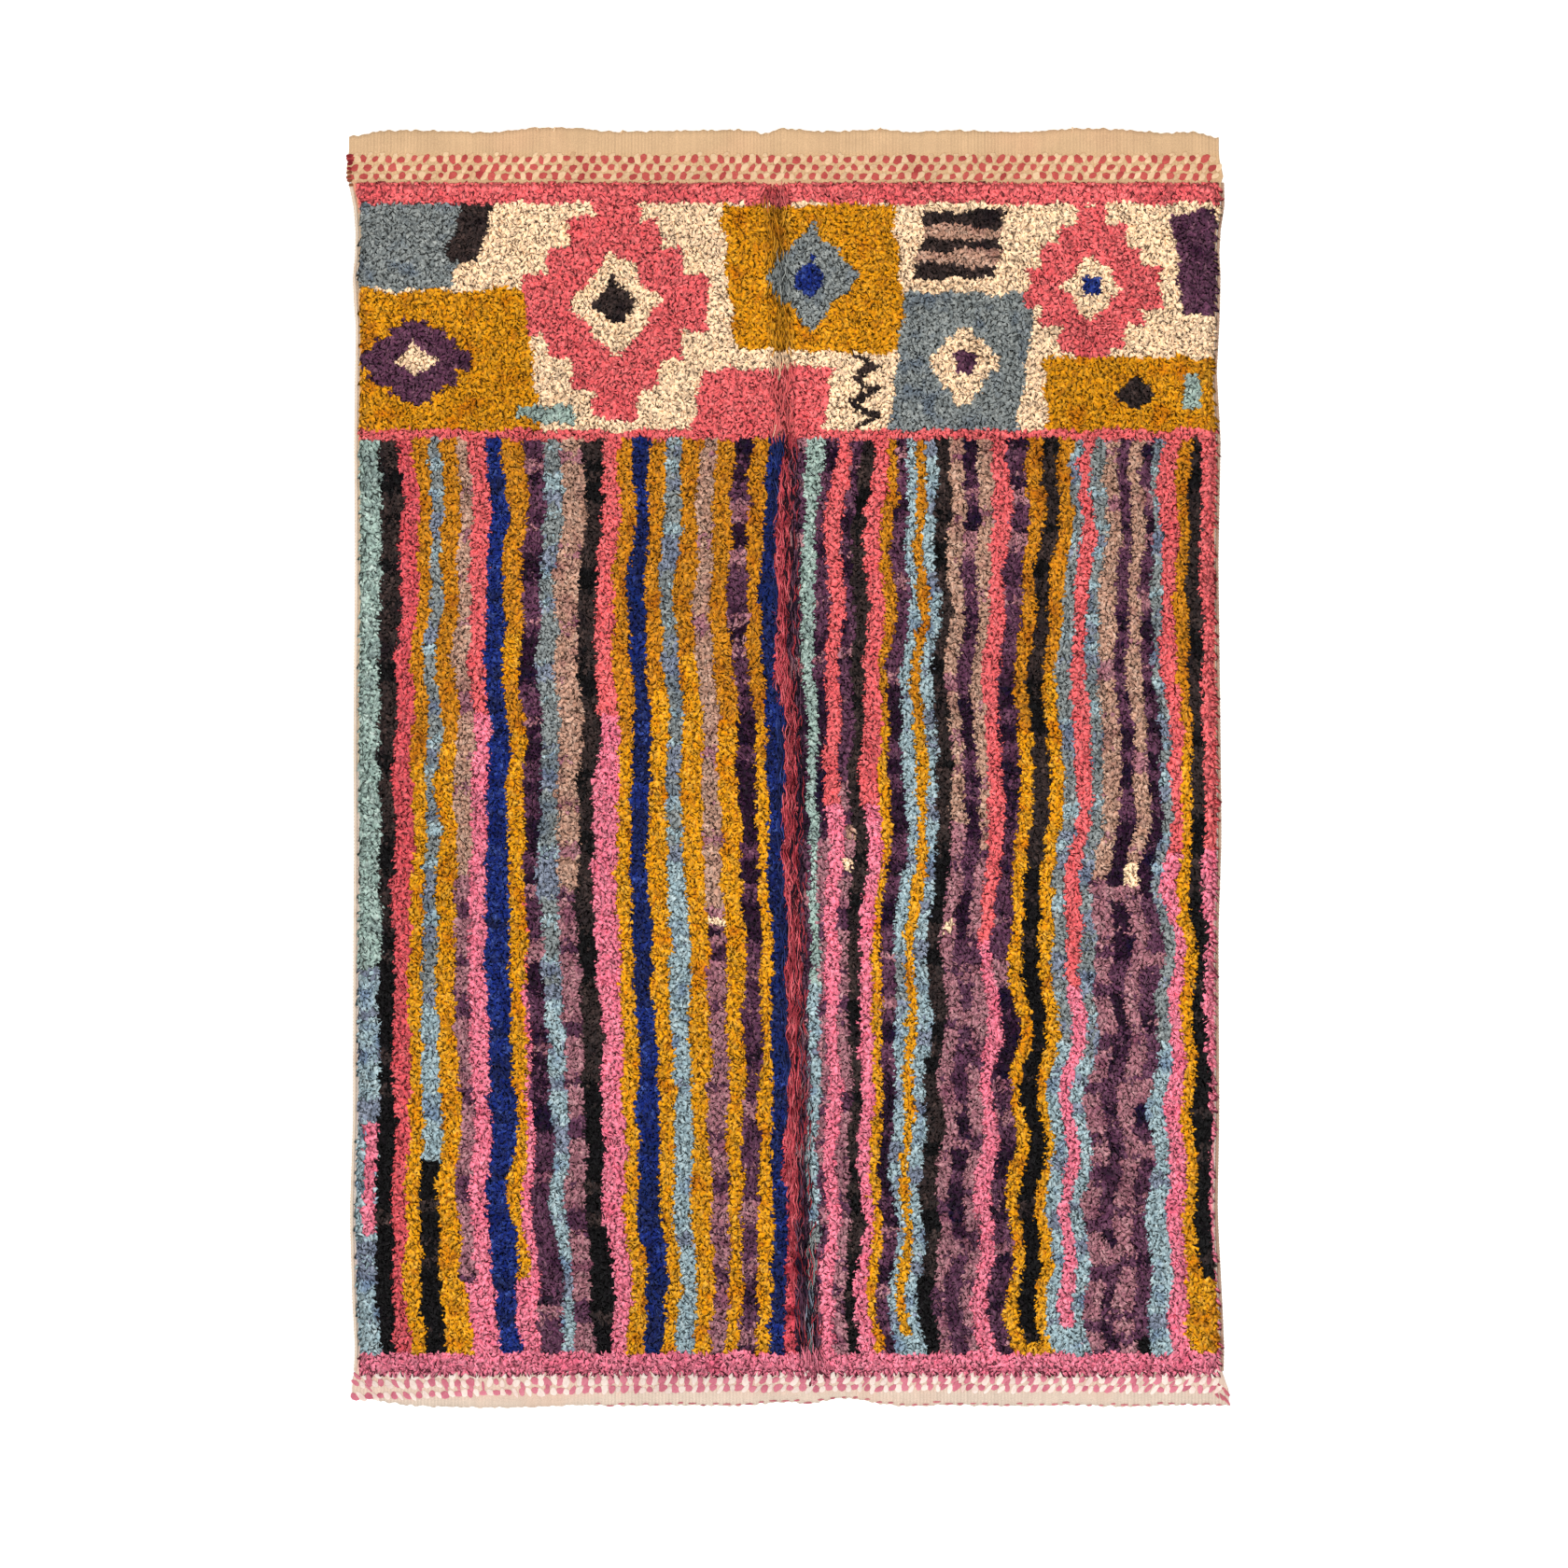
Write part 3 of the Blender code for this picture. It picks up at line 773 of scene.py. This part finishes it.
def lockRoots():
    draw = np.random.default_rng(7)
    inset = pile["pitch"] / 2
    rows = np.arange(pileBottom + inset, pileTop - inset, pile["pitch"])
    xs, ys = [], []
    for number, y in enumerate(rows):
        left, right = pileLeft(y) + inset / 2, pileRight(y) - inset / 2
        count = int((right - left) / pile["pitch"])
        stagger = 0.5 * (number % 2)
        xs.append(left + (np.arange(count) + 0.25 + stagger) * (right - left) / count)
        ys.append(np.full(count, y))
    x, y = np.concatenate(xs), np.concatenate(ys)
    x = x + draw.uniform(-1, 1, len(x)) * pile["jitter"]
    y = y + draw.uniform(-1, 1, len(y)) * pile["jitter"]
    return x, y, draw


def pileSurface(x, y):
    above = Vector((0, 0, -1))
    heights = [rugTree.ray_cast(Vector((a, b, 1)), above)[0] for a, b in zip(x, y)]
    heights = np.array([found.z if found else 0.0 for found in heights])
    return np.clip(heights, pile["lowest"], None)


def makePile():
    x, y, draw = lockRoots()
    count = len(x)
    surface = pileSurface(x, y)

    turn = np.radians(-90 + pile["turn"] * waves(x, y, pile["napLength"], seed=11))
    turn = turn + np.radians(pile["curl"]) * waves(x, y, pile["curlLength"], seed=12)
    turn = turn + np.radians(pile["curl"]) * draw.normal(0, pile["curlSpread"], count)
    reach = pile["lean"] + pile["leanSpread"] * draw.uniform(-1, 1, count)
    leanX, leanY = reach * np.cos(turn), reach * np.sin(turn)
    leanX = leanX + pile["clump"] * waves(x, y, pile["clumpLength"], seed=13)
    leanY = leanY + pile["clump"] * waves(x, y, pile["clumpLength"], seed=14)

    phase = y / pile["rowPitch"] + pile["rowDrift"] * waves(x, y, pile["rowWaver"], seed=16)
    shown = np.clip(pile["rowShow"] + waves(x, y, pile["rowPatch"], seed=17), 0, 1)
    ripple = np.sin(2 * np.pi * phase) * shown
    leanY = leanY + pile["rowLean"] * ripple

    toLeft, toRight = x - pileLeft(y), pileRight(y) - x
    toTop, toBottom = pileTop - y, y - pileBottom
    for distance, side, signX, signY in (
        (toLeft, "left", -1, 0), (toRight, "right", 1, 0),
        (toTop, "top", 0, 1), (toBottom, "bottom", 0, -1),
    ):
        near = np.clip(1 - distance / pile["rimReach"], 0, 1)
        push = pile["rimLean"][side]
        if signX:
            leanX = leanX * (1 - near) + signX * push * near
        else:
            leanY = leanY * (1 - near) + signY * push * near

    own = yarnAt(x, y)
    spilled = np.zeros(count, bool)
    for side in (-1, 1):
        beside = yarnAt(x + side * pile["spillFrom"], y)
        over = brightness[own] - brightness[beside] > pile["spillContrast"]
        over &= draw.uniform(0, 1, count) < pile["spillShare"]
        reach = draw.uniform(*pile["spillReach"], int(over.sum()))
        leanX[over] = side * pile["spill"] * reach
        leanY[over] *= pile["spillCalm"]
        spilled |= over

    near = creaseShare(x, y)
    leanY = leanY - pile["creaseLean"] * near * draw.uniform(*pile["creaseLeanShare"], count)
    leanX = leanX * (1 - pile["creaseCalm"] * near)
    thin = 1 - (1 - pile["creaseThin"]) * near
    thin[spilled] *= pile["spillThin"]

    top = surface - pile["rowDip"] * (1 - ripple) - pile["topDrop"]
    top = top + pile["topSpread"] * draw.uniform(-1, 1, count)
    top = top - pile["creaseDrop"] * near + pile["spillRise"] * spilled
    yarn = yarnAt(x + pile["seeFrom"] * leanX, y + pile["seeFrom"] * leanY)
    yarn[spilled] = own[spilled]
    tone = draw.normal(pile["toneMiddle"], pile["toneSpread"], count)
    tone = tone + pile["blotch"] * waves(x, y, pile["blotchLength"], seed=15)
    # painted shade along the ripples, darker in the troughs and lighter on the crests
    tone = tone + pile["rowShade"] * ripple
    tone = np.clip(tone, 0, 1)
    spin = draw.uniform(0, 2 * math.pi, count)
    girth = draw.uniform(*pile["girth"], count) * thin

    corners, faces = makeLock()
    high = corners[:, 2]
    inside = np.clip(toPileEdge(x, y) / pile["rimReach"], 0, 1)
    foot = pile["rimRadius"] + (pile["rootRadius"] - pile["rimRadius"]) * inside
    radius = np.where(high[None] > 0.5, pile["tipRadius"], foot[:, None])
    flatX = corners[None, :, 0] * radius
    flatY = corners[None, :, 1] * radius
    cos, sin = np.cos(spin)[:, None], np.sin(spin)[:, None]
    spunX, spunY = flatX * cos - flatY * sin, flatX * sin + flatY * cos
    shapes = np.empty((count, len(corners), 3))
    shapes[:, :, 0] = x[:, None] + girth[:, None] * spunX + leanX[:, None] * high
    shapes[:, :, 1] = y[:, None] + girth[:, None] * spunY + leanY[:, None] * high
    footZ = pile["footZ"] + (pile["innerFootZ"] - pile["footZ"]) * inside * (1 - near)
    shapes[:, :, 2] = footZ[:, None] + (top - footZ)[:, None] * high

    print("pile:", count, "locks,", count * len(faces), "triangles")
    return piecesByYarn("pile_", shapes, faces, yarn, tone, high)


def piecesByYarn(start, shapes, faces, yarn, tone, high):  # one joined mesh for each yarn
    made = []
    for number, name in enumerate(yarnNames):
        mine = yarn == number
        total = int(mine.sum())
        if not total:
            continue
        points = {"lockTone": np.repeat(tone[mine], len(high)), "lockHeight": np.tile(high, total)}
        mesh = joinedMesh(start + name, shapes[mine], faces, points)
        piece = addPiece(start + name, mesh, yarnMaterial(name))
        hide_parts("knotted_rug")
        made.append(piece)
        print(piece.name, total * len(faces), "triangles")
    return made


pilePieces = makePile()

# long strands that lie along the fold, where the pile parts
strands = {
    "fromX": -0.038,
    "toX": 0.023,
    "pitch": 0.0034,
    "fromY": -1.386,
    "panelY": 0.770,  # above this the fold is faint
    "toY": 1.340,
    "panelShare": 0.35,
    "length": (0.026, 0.058),
    "overlap": 0.62,  # the next one starts this share of a length further on
    "startShare": 0.4,
    "radius": (0.0009, 0.0020),
    "sway": 0.0030,
    "swayLength": 0.042,
    "swayAcross": 3,  # neighbouring strands sway apart
    "bend": 0.0042,
    "lift": 0.0006,
    "dip": 0.0050,
    "sink": 0.0004,
    "dark": (0.26, 0.66),  # share of dark strands left and right of the line below
    "darkFrom": -0.013,
    "darkTone": 0.10,
    "blackShare": 0.5,
    "toneMiddle": 0.78,
    "toneSpread": 0.26,
    "cuts": 3,
    "taper": 0.35,
}


def makeStrand():  # a three-sided strand one unit long, thinner at its ends
    bm = bmesh.new()
    bmesh.ops.create_cone(bm, cap_ends=True, segments=3, radius1=1, radius2=1, depth=1)
    long = [edge for edge in bm.edges if abs(edge.verts[0].co.z - edge.verts[1].co.z) > 0.5]
    bmesh.ops.subdivide_edges(bm, edges=long, cuts=strands["cuts"])
    tips = [vert for vert in bm.verts if abs(vert.co.z) > 0.49]
    bmesh.ops.scale(bm, vec=(strands["taper"], strands["taper"], 1), verts=tips)
    bmesh.ops.triangulate(bm, faces=bm.faces)
    bmesh.ops.recalc_face_normals(bm, faces=bm.faces)
    return shapeTables(bm)


def makeCreaseStrands():
    draw = np.random.default_rng(53)
    middleLength = sum(strands["length"]) / 2
    across = np.arange(strands["fromX"], strands["toX"], strands["pitch"])
    step = middleLength * strands["overlap"]
    along = np.arange(strands["fromY"] + middleLength / 2, strands["toY"], step)
    offset, y = (grid.reshape(-1) for grid in np.meshgrid(across, along))
    y = y + draw.uniform(-0.5, 0.5, len(y)) * middleLength
    offset = offset + draw.uniform(-0.5, 0.5, len(y)) * strands["pitch"]
    first = strands["fromY"] + strands["startShare"] * middleLength
    keep = (y > first) & (y < strands["toY"])
    keep &= (y < strands["panelY"]) | (draw.uniform(0, 1, len(y)) < strands["panelShare"])
    offset, y = offset[keep], y[keep]
    count = len(y)
    x = creaseX(y) + offset
    yarn = yarnAt(x, y)
    tone = np.clip(draw.normal(strands["toneMiddle"], strands["toneSpread"], count), 0, 1)
    # the dark strands are partly darker yarn and partly painted shade where the pile parts along
    # the fold
    share = np.where(offset < strands["darkFrom"], *strands["dark"])
    dark = (draw.uniform(0, 1, count) < share) & (y < strands["panelY"])
    dark &= y > layout["stripesBottom"]
    tone[dark] = draw.uniform(0, strands["darkTone"], int(dark.sum()))
    turned = dark & (yarn != yarnNames.index("royal")) & (yarn != yarnNames.index("navy"))
    yarn[turned] = yarnNames.index("coralRed")
    black = turned & (offset > strands["darkFrom"])
    black &= draw.uniform(0, 1, count) < strands["blackShare"]
    yarn[black] = yarnNames.index("aubergine")

    corners, faces = makeStrand()
    share = corners[:, 2]
    length = draw.uniform(*strands["length"], count)[:, None]
    radius = draw.uniform(*strands["radius"], count)[:, None]
    surface = pileSurface(x, y) - pile["creaseDrop"] + strands["lift"]
    level = surface - strands["sink"] * dark + draw.uniform(-1, 1, count) * strands["lift"]
    bend = draw.normal(0, strands["bend"], count)[:, None] * share[None]
    spotY = y[:, None] + length * share[None]
    spotX = offset[:, None] + creaseX(spotY) + bend
    apart = offset[:, None] * strands["swayAcross"]
    spotX = spotX + strands["sway"] * waves(apart, spotY, strands["swayLength"], seed=54)
    shapes = np.empty((count, len(corners), 3))
    shapes[:, :, 0] = spotX + radius * corners[None, :, 0]
    shapes[:, :, 1] = spotY
    dip = strands["dip"] * (2 * share[None]) ** 4  # both ends go down into the pile
    shapes[:, :, 2] = level[:, None] + radius * corners[None, :, 1] - dip
    print("crease:", count, "strands")
    return piecesByYarn("crease_", shapes, faces, yarn, tone, np.full(len(corners), 1.0))


creasePieces = makeCreaseStrands()

# the bottom band sags towards the left, from a line near the pile down to its full depth
sag = {
    "x": (-1.00, -0.90, -0.63, -0.30, 0.30, 1.00),
    "y": (-0.019, -0.018, -0.009, -0.002, 0.000, -0.003),
    "from": -1.388,
    "reach": 0.044,
}

# the flat-woven ends, and the back of the knots underneath
ground = {
    "endMargin": 0.004,  # the finer rows of the flat-woven ends start this far from the pile
    "bodyTop": 0.0120,  # top of the dense foot of the pile, and how far in from its edges
    "bodyReach": 0.030,
    "columns": 260,
    "pileCell": 0.038,
    "endCell": 0.012,
    "topZ": 0.0040,
    "thickness": 0.0032,
    "rib": 0.0008,
    "ribShade": 0.10,
    "uneven": 0.3,
    "unevenLength": 1.5,  # in ribs
    "ripple": 0.0003,
    "rippleLength": 0.09,
    "ragged": 0.0016,
    "raggedLength": 0.016,
    "topWeave": (187, 157, 123),
    "topBand": (188, 156, 120),
    "topBandFrom": 1.354,
    "topBandTo": 1.415,
    "bottomBand": (198, 174, 158),
    "bottomBandTo": -1.442,
    "bottomWeave": (192, 174, 158),
    "blush": (196, 146, 118),  # a tint that drifts over the flat-woven ends
    "blushScale": 5.0,
    "blushEdge": (0.50, 0.66),
    "blushShare": 0.20,
    "weaveScale": 420,
    "weaveShade": (0.80, 1.06),
    "weaveDepth": 0.0005,
    "driftScale": 14.0,
    "driftShade": (0.92, 1.05),
    "noiseEdge": (0.3, 0.7),
}


def groundRows():
    inner = (pileBottom - ground["endMargin"], pileTop + ground["endMargin"])
    low, high = groundEnds[1].min(), groundEnds[2].max()
    bottomRows = np.linspace(low, inner[0], int((inner[0] - low) / ground["endCell"]) + 1)
    pileRows = np.linspace(*inner, int((inner[1] - inner[0]) / ground["pileCell"]) + 1)
    topRows = np.linspace(inner[1], high, int((high - inner[1]) / ground["endCell"]) + 1)
    return np.concatenate((bottomRows[:-1], pileRows, topRows[1:])), inner


def fray(x):  # how far a cut end falls short of its outline
    return ground["ragged"] * (1 + float(waves(x, 0, ground["raggedLength"], seed=22)))


def groundPlace(u, v, rows, inner):  # across share and row number into a place on the floor
    y = float(np.interp(v, np.arange(len(rows)), rows))
    left, right = groundLeft(y), groundRight(y)
    x = left + (right - left) * u
    if y < inner[0]:
        end = groundBottom(x) + fray(x)
        y = inner[0] + (y - inner[0]) * (inner[0] - end) / (inner[0] - rows[0])
    elif y > inner[1]:
        end = groundTop(x) - fray(x)
        y = inner[1] + (y - inner[1]) * (end - inner[1]) / (rows[-1] - inner[1])
    return x, y


def raiseBody(bm):  # under the locks the ground is as thick as the dense foot of the pile
    for vert in bm.verts:
        x, y, z = vert.co
        inside = toPileEdge(x, y)
        if z < ground["topZ"] - ground["thickness"] / 2 or inside < 0:
            continue
        share = np.clip(inside / ground["bodyReach"], 0, 1) * (1 - creaseShare(x, y))
        vert.co.z = z + (ground["bodyTop"] - z) * float(share)


def makeGround():
    rows, inner = groundRows()
    columns, rowCount = ground["columns"], len(rows) - 1
    bm = bmesh.new()
    bmesh.ops.create_grid(bm, x_segments=columns, y_segments=rowCount, size=1)
    lowest, highest = np.searchsorted(rows, inner[0]) + 0.1, np.searchsorted(rows, inner[1]) - 0.1
    ends = []  # edges across the flat-woven ends, which are cut finer for the ribs
    for edge in bm.edges:
        y = (edge.verts[0].co.y + edge.verts[1].co.y) / 2
        row = (y + 1) / 2 * rowCount
        level = abs(edge.verts[0].co.y - edge.verts[1].co.y) < 1e-6
        if level and not lowest <= row <= highest:
            ends.append(edge)
    bmesh.ops.subdivide_edges(bm, edges=ends, cuts=1, use_grid_fill=True)
    for vert in bm.verts:
        u, v = (vert.co.x + 1) / 2, (vert.co.y + 1) / 2 * rowCount
        x, y = groundPlace(u, v, rows, inner)
        ribbed = round(u * columns * 2) % 2 and not inner[0] <= y <= inner[1]
        rib = ground["rib"] if ribbed else 0.0
        bulge = ground["ripple"] * float(waves(x, y, ground["rippleLength"], seed=21))
        vert.co = (x, y, ground["topZ"] + rib + bulge)
    bmesh.ops.solidify(bm, geom=bm.faces[:], thickness=ground["thickness"])
    bmesh.ops.recalc_face_normals(bm, faces=bm.faces)
    raiseBody(bm)
    mesh = meshOf(bm, "ground_weave")

    place = np.empty(len(mesh.vertices) * 3)
    mesh.vertices.foreach_get("co", place)
    x, y = place[0::3], place[1::3]
    colours = np.empty((len(x), 4))
    colours[:] = (*linear(ground["topWeave"]), 1)
    colours[y < 0] = (*linear(ground["bottomWeave"]), 1)
    topBand = (y > ground["topBandFrom"]) & (y < ground["topBandTo"])
    colours[topBand] = (*linear(ground["topBand"]), 1)
    bottomBand = (y < 0) & (y > ground["bottomBandTo"] + np.interp(x, sag["x"], sag["y"]))
    colours[bottomBand] = (*linear(ground["bottomBand"]), 1)
    knotted = (y > pileBottom) & (y < pileTop)
    knotted &= (x > pileLeft(y)) & (x < pileRight(y))
    palette = np.array([(*linear(yarns[name][1]), 1) for name in yarnNames])
    colours[knotted] = palette[yarnAt(x[knotted], y[knotted])]
    # painted shade: the flat-woven ends are coloured lighter and darker across, in step with their
    # raised ribs, made uneven at random
    cell = (groundSides[2].max() - groundSides[1].min()) / ground["columns"]
    uneven = waves(x, 0, cell * ground["unevenLength"], seed=23)
    ribs = np.sin(2 * np.pi * x / cell) + ground["uneven"] * uneven
    colours[~knotted, :3] *= 1 + ground["ribShade"] * ribs[~knotted, None]
    dye = mesh.attributes.new("weaveDye", "FLOAT_COLOR", "POINT")
    dye.data.foreach_set("color", colours.reshape(-1).astype(np.float32))
    return addPiece("ground_weave", mesh, weaveMaterial())


def weaveMaterial():
    material, tree, shader, place = startMaterial("ground_weave")
    dye = attributeNode(tree, "weaveDye", "Color")
    grain = noiseNode(tree, place, ground["weaveScale"], detail=2.0)
    drift = noiseNode(tree, place, ground["driftScale"], detail=3.0)
    level = rangeNode(tree, grain, *ground["noiseEdge"], *ground["weaveShade"])
    slow = rangeNode(tree, drift, *ground["noiseEdge"], *ground["driftShade"])
    level = mathNode(tree, "MULTIPLY", level, slow)
    tint = noiseNode(tree, place, ground["blushScale"], detail=4.0)
    share = rangeNode(tree, tint, *ground["blushEdge"], 0.0, ground["blushShare"])
    dye = mixNode(tree, share, dye, (*linear(ground["blush"]), 1))
    finishMaterial(tree, shader, dye, level, grain, ground["weaveDepth"])
    return material


groundWeave = makeGround()
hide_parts("knotted_rug")
print("ground weave:", len(groundWeave.data.polygons), "faces")

# the bands at both ends: slanted stitches of two colours
band = {
    "pair": 0.0292,  # one pink stitch and one cream
    "inset": 0.006,
    "height": 0.0058,
    "centreZ": 0.0048,
    "sway": 0.0021,
    "spread": 0.27,
    "heightSpread": 0.4,  # of that
    "slantSpread": 0.40,
    "around": 8,
    "rings": 5,
    "taper": 0.55,  # stitches swell or narrow this much from end to end
    "toneMiddle": 0.5,
    "toneSpread": 0.15,
    "leanX": (-1.00, -0.60, 0.00),  # the bottom band's stitches lean the other way at the left
    "leanShare": (-1.2, -0.2, 1.0),
    "shades": {
        "top_pink": ((120, 38, 40), (182, 80, 76), (208, 112, 102), (160, 60, 60)),
        "top_cream": ((168, 130, 96), (216, 186, 150), (232, 206, 172), (200, 164, 128)),
        "bottom_pink": ((150, 72, 92), (202, 116, 132), (220, 150, 162), (184, 94, 112)),
        "bottom_cream": ((188, 162, 150), (230, 213, 202), (238, 226, 218), (218, 192, 182)),
        "edge_thread": ((136, 62, 74), (190, 108, 116), (214, 146, 148), (166, 84, 96)),
        "edge_red": ((84, 16, 24), (156, 44, 54), (184, 76, 78), (120, 36, 40)),
        "edge_brown": ((70, 34, 22), (124, 70, 46), (156, 104, 74), (104, 54, 38)),
    },
}

# rows of stitches: colour, y, shift along the row in pairs, width, length, slant, share kept
bandRows = (
    ("top_cream", 1.414, 0.45, 0.0120, 0.0120, 0.30, 0.7),
    ("top_pink", 1.404, 0.00, 0.0190, 0.0185, 0.10, 1.0),
    ("top_cream", 1.404, 0.50, 0.0165, 0.0200, 0.30, 1.0),
    ("top_pink", 1.384, 0.45, 0.0190, 0.0185, 0.10, 1.0),
    ("top_cream", 1.384, 0.95, 0.0165, 0.0200, 0.30, 1.0),
    ("top_pink", 1.365, 0.05, 0.0190, 0.0180, 0.10, 1.0),
    ("top_cream", 1.365, 0.55, 0.0165, 0.0190, 0.30, 1.0),
    ("bottom_cream", -1.397, 0.52, 0.0170, 0.0270, 0.35, 1.0),
    ("bottom_pink", -1.399, 0.02, 0.0110, 0.0180, 0.35, 0.8),
    ("bottom_pink", -1.411, 0.05, 0.0170, 0.0200, 0.40, 0.95),
    ("bottom_cream", -1.413, 0.55, 0.0160, 0.0230, 0.40, 1.0),
    ("bottom_pink", -1.420, 0.04, 0.0090, 0.0230, 0.80, 0.55),
    ("bottom_pink", -1.431, 0.00, 0.0185, 0.0180, 0.35, 1.0),
    ("bottom_cream", -1.432, 0.50, 0.0160, 0.0210, 0.40, 1.0),
)

# loose thread along the bottom edge, and the wraps at the top left end of the band
edgeStitches = {
    "threadFrom": -0.440,
    "threadTo": 1.000,
    "threadPitch": 0.0270,
    "threadInset": 0.0035,
    "threadSize": (0.0165, 0.0046, 0.0036),
    "threadSlant": 0.6,
    "ends": (  # threads at a corner
        (0.999, -1.4310), (1.008, -1.4400), (0.987, -1.4470), (0.999, -1.4530), (1.009, -1.4620),
    ),
    "endSize": (0.0085, 0.0220, 0.0042),
    "endSlant": -0.7,
    "tufts": (-0.582, -0.540, -0.384, -0.046, 0.212, 0.655),  # thread ends left along the top edge
    "tuftSize": (0.0052, 0.0120, 0.0040),
    "tuftSlant": 0.2,
    "tuftInset": 0.0035,
    "wrapX": -1.0130,
    "wrapTop": 1.412,
    "wrapPitch": 0.0095,
    "wraps": ("edge_red",) * 4 + ("edge_brown",) * 4,
    "wrapSize": (0.0150, 0.0095, 0.0075),
    "wrapSlant": 0.1,
    "wrapStep": 0.0002,
}


def makeStitch():  # a round-ended stitch, one unit long
    bm = bmesh.new()
    bmesh.ops.create_uvsphere(bm, u_segments=band["around"], v_segments=band["rings"], radius=0.5)
    bmesh.ops.triangulate(bm, faces=bm.faces)
    return shapeTables(bm)


def bandStitches():  # every stitch: colour, x, y, width, length, height, slant
    stitches = []
    draw = np.random.default_rng(32)
    for colour, y, shift, width, length, slant, kept in bandRows:
        left, right = groundLeft(y) + band["inset"], groundRight(y) - band["inset"]
        pairs = int((right - left) / band["pair"])
        step = (right - left) / pairs
        for pair in range(pairs):
            x = left + (pair + shift) * step
            if draw.uniform(0, 1) > kept:
                continue
            depth = float(np.clip((sag["from"] - y) / sag["reach"], 0, 1))
            drop = float(np.interp(x, sag["x"], sag["y"])) * depth
            turned = float(np.interp(x, band["leanX"], band["leanShare"])) if y < 0 else 1.0
            stitches.append((colour, x, y + drop, width, length, band["height"], slant * turned))
    edge = edgeStitches
    for x in np.arange(edge["threadFrom"], edge["threadTo"], edge["threadPitch"]):
        y = groundBottom(x) + fray(x) + edge["threadInset"]
        stitches.append(("edge_thread", x, y, *edge["threadSize"], edge["threadSlant"]))
    for x, y in edge["ends"]:
        stitches.append(("edge_thread", x, y, *edge["endSize"], edge["endSlant"]))
    for x in edge["tufts"]:
        y = groundTop(x) - fray(x) - edge["tuftInset"]
        stitches.append(("top_cream", x, y, *edge["tuftSize"], edge["tuftSlant"]))
    for number, colour in enumerate(edge["wraps"]):
        x = edge["wrapX"] + edge["wrapStep"] * number
        y = edge["wrapTop"] - edge["wrapPitch"] * number
        stitches.append((colour, x, y, *edge["wrapSize"], edge["wrapSlant"]))
    return stitches


def makeBands():
    draw = np.random.default_rng(31)
    corners, faces = makeStitch()
    stitches = bandStitches()
    made = []
    for colour, shades in band["shades"].items():
        spots = np.array([stitch[1:] for stitch in stitches if stitch[0] == colour])
        count = len(spots)
        spread = band["spread"] * draw.uniform(-1, 1, (count, 3)) * (1, 1, band["heightSpread"])
        shapes = corners[None] * (spots[:, 2:5] * (1 + spread))[:, None, :]
        slant = spots[:, 5] + band["slantSpread"] * draw.uniform(-1, 1, count)
        taper = band["taper"] * draw.uniform(-1, 1, count)
        shapes[:, :, 0] *= 1 + taper[:, None] * 2 * corners[None, :, 1]
        shapes[:, :, 0] += shapes[:, :, 1] * slant[:, None]
        shapes[:, :, :2] += spots[:, None, :2] + draw.uniform(-1, 1, (count, 1, 2)) * band["sway"]
        shapes[:, :, 2] += band["centreZ"]
        tone = np.clip(draw.normal(band["toneMiddle"], band["toneSpread"], count), 0, 1)
        points = {
            "lockTone": np.repeat(tone, len(corners)),
            "lockHeight": np.tile(corners[:, 2] + 0.5, count),
        }
        mesh = joinedMesh("band_" + colour, shapes, faces, points)
        material = woolMaterial("band_" + colour, shades)
        piece = addPiece("band_" + colour, mesh, material)
        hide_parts("knotted_rug")
        made.append(piece)
        print(piece.name, count * len(faces), "triangles")
    return made


bandPieces = makeBands()

# side edges overcast with a thick yarn
selvedge = {
    "around": 8,
    "wrap": 0.0080,
    "ringsEachWrap": 2,
    "width": 0.0088,
    "height": 0.0064,
    "groove": 0.24,
    "slant": 0.0030,
    "wool": {
        "selvedge_left": ((176, 150, 128), (224, 206, 186), (236, 222, 208), (212, 188, 166)),
        "selvedge_right": ((110, 84, 70), (172, 142, 122), (196, 170, 150), (150, 118, 100)),
    },
}


def makeSelvedge(nodeName):
    tree = treeOf(nodeName)
    low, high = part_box(nodeName)
    start, end = low.y + wallInset, high.y - wallInset
    places, left, right = sideTable(tree, measuring["selvedgeZ"], start, end)
    rings = int((high.y - low.y) / selvedge["wrap"]) * selvedge["ringsEachWrap"]
    bm = bmesh.new()
    bmesh.ops.create_grid(bm, x_segments=selvedge["around"], y_segments=rings, size=1)
    for vert in bm.verts:
        turn = (vert.co.x + 1) * math.pi
        ring = round((vert.co.y + 1) / 2 * rings)
        y = low.y + (high.y - low.y) * ring / rings
        centre = float(np.interp(y, places, (left + right) / 2))
        swell = 1 - selvedge["groove"] * (ring % selvedge["ringsEachWrap"])
        y += selvedge["slant"] * math.cos(turn) if 0 < ring < rings else 0.0
        across = selvedge["width"] / 2 * swell * math.cos(turn)
        up = selvedge["height"] / 2 * (1 + swell * math.sin(turn))
        vert.co = (centre + across, y, up)
    bmesh.ops.remove_doubles(bm, verts=bm.verts, dist=1e-6)
    bmesh.ops.holes_fill(bm, edges=[edge for edge in bm.edges if edge.is_boundary])
    bmesh.ops.recalc_face_normals(bm, faces=bm.faces)
    mesh = meshOf(bm, nodeName + "_wraps")
    for key, value in (("lockTone", 0.5), ("lockHeight", 1.0)):
        attribute = mesh.attributes.new(key, "FLOAT", "POINT")
        attribute.data.foreach_set("value", [value] * len(mesh.vertices))
    material = woolMaterial(nodeName + "_wool", selvedge["wool"][nodeName])
    piece = addPiece(nodeName + "_wraps", mesh, material)
    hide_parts(nodeName)
    return piece


selvedgePieces = [makeSelvedge("selvedge_left"), makeSelvedge("selvedge_right")]
print("selvedges made")

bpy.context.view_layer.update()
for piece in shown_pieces():
    piece.data.calc_loop_triangles()
counts = {piece.name: len(piece.data.loop_triangles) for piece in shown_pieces()}
print("triangles:", sum(counts.values()), "in all,", max(counts.values()), "in the biggest piece")
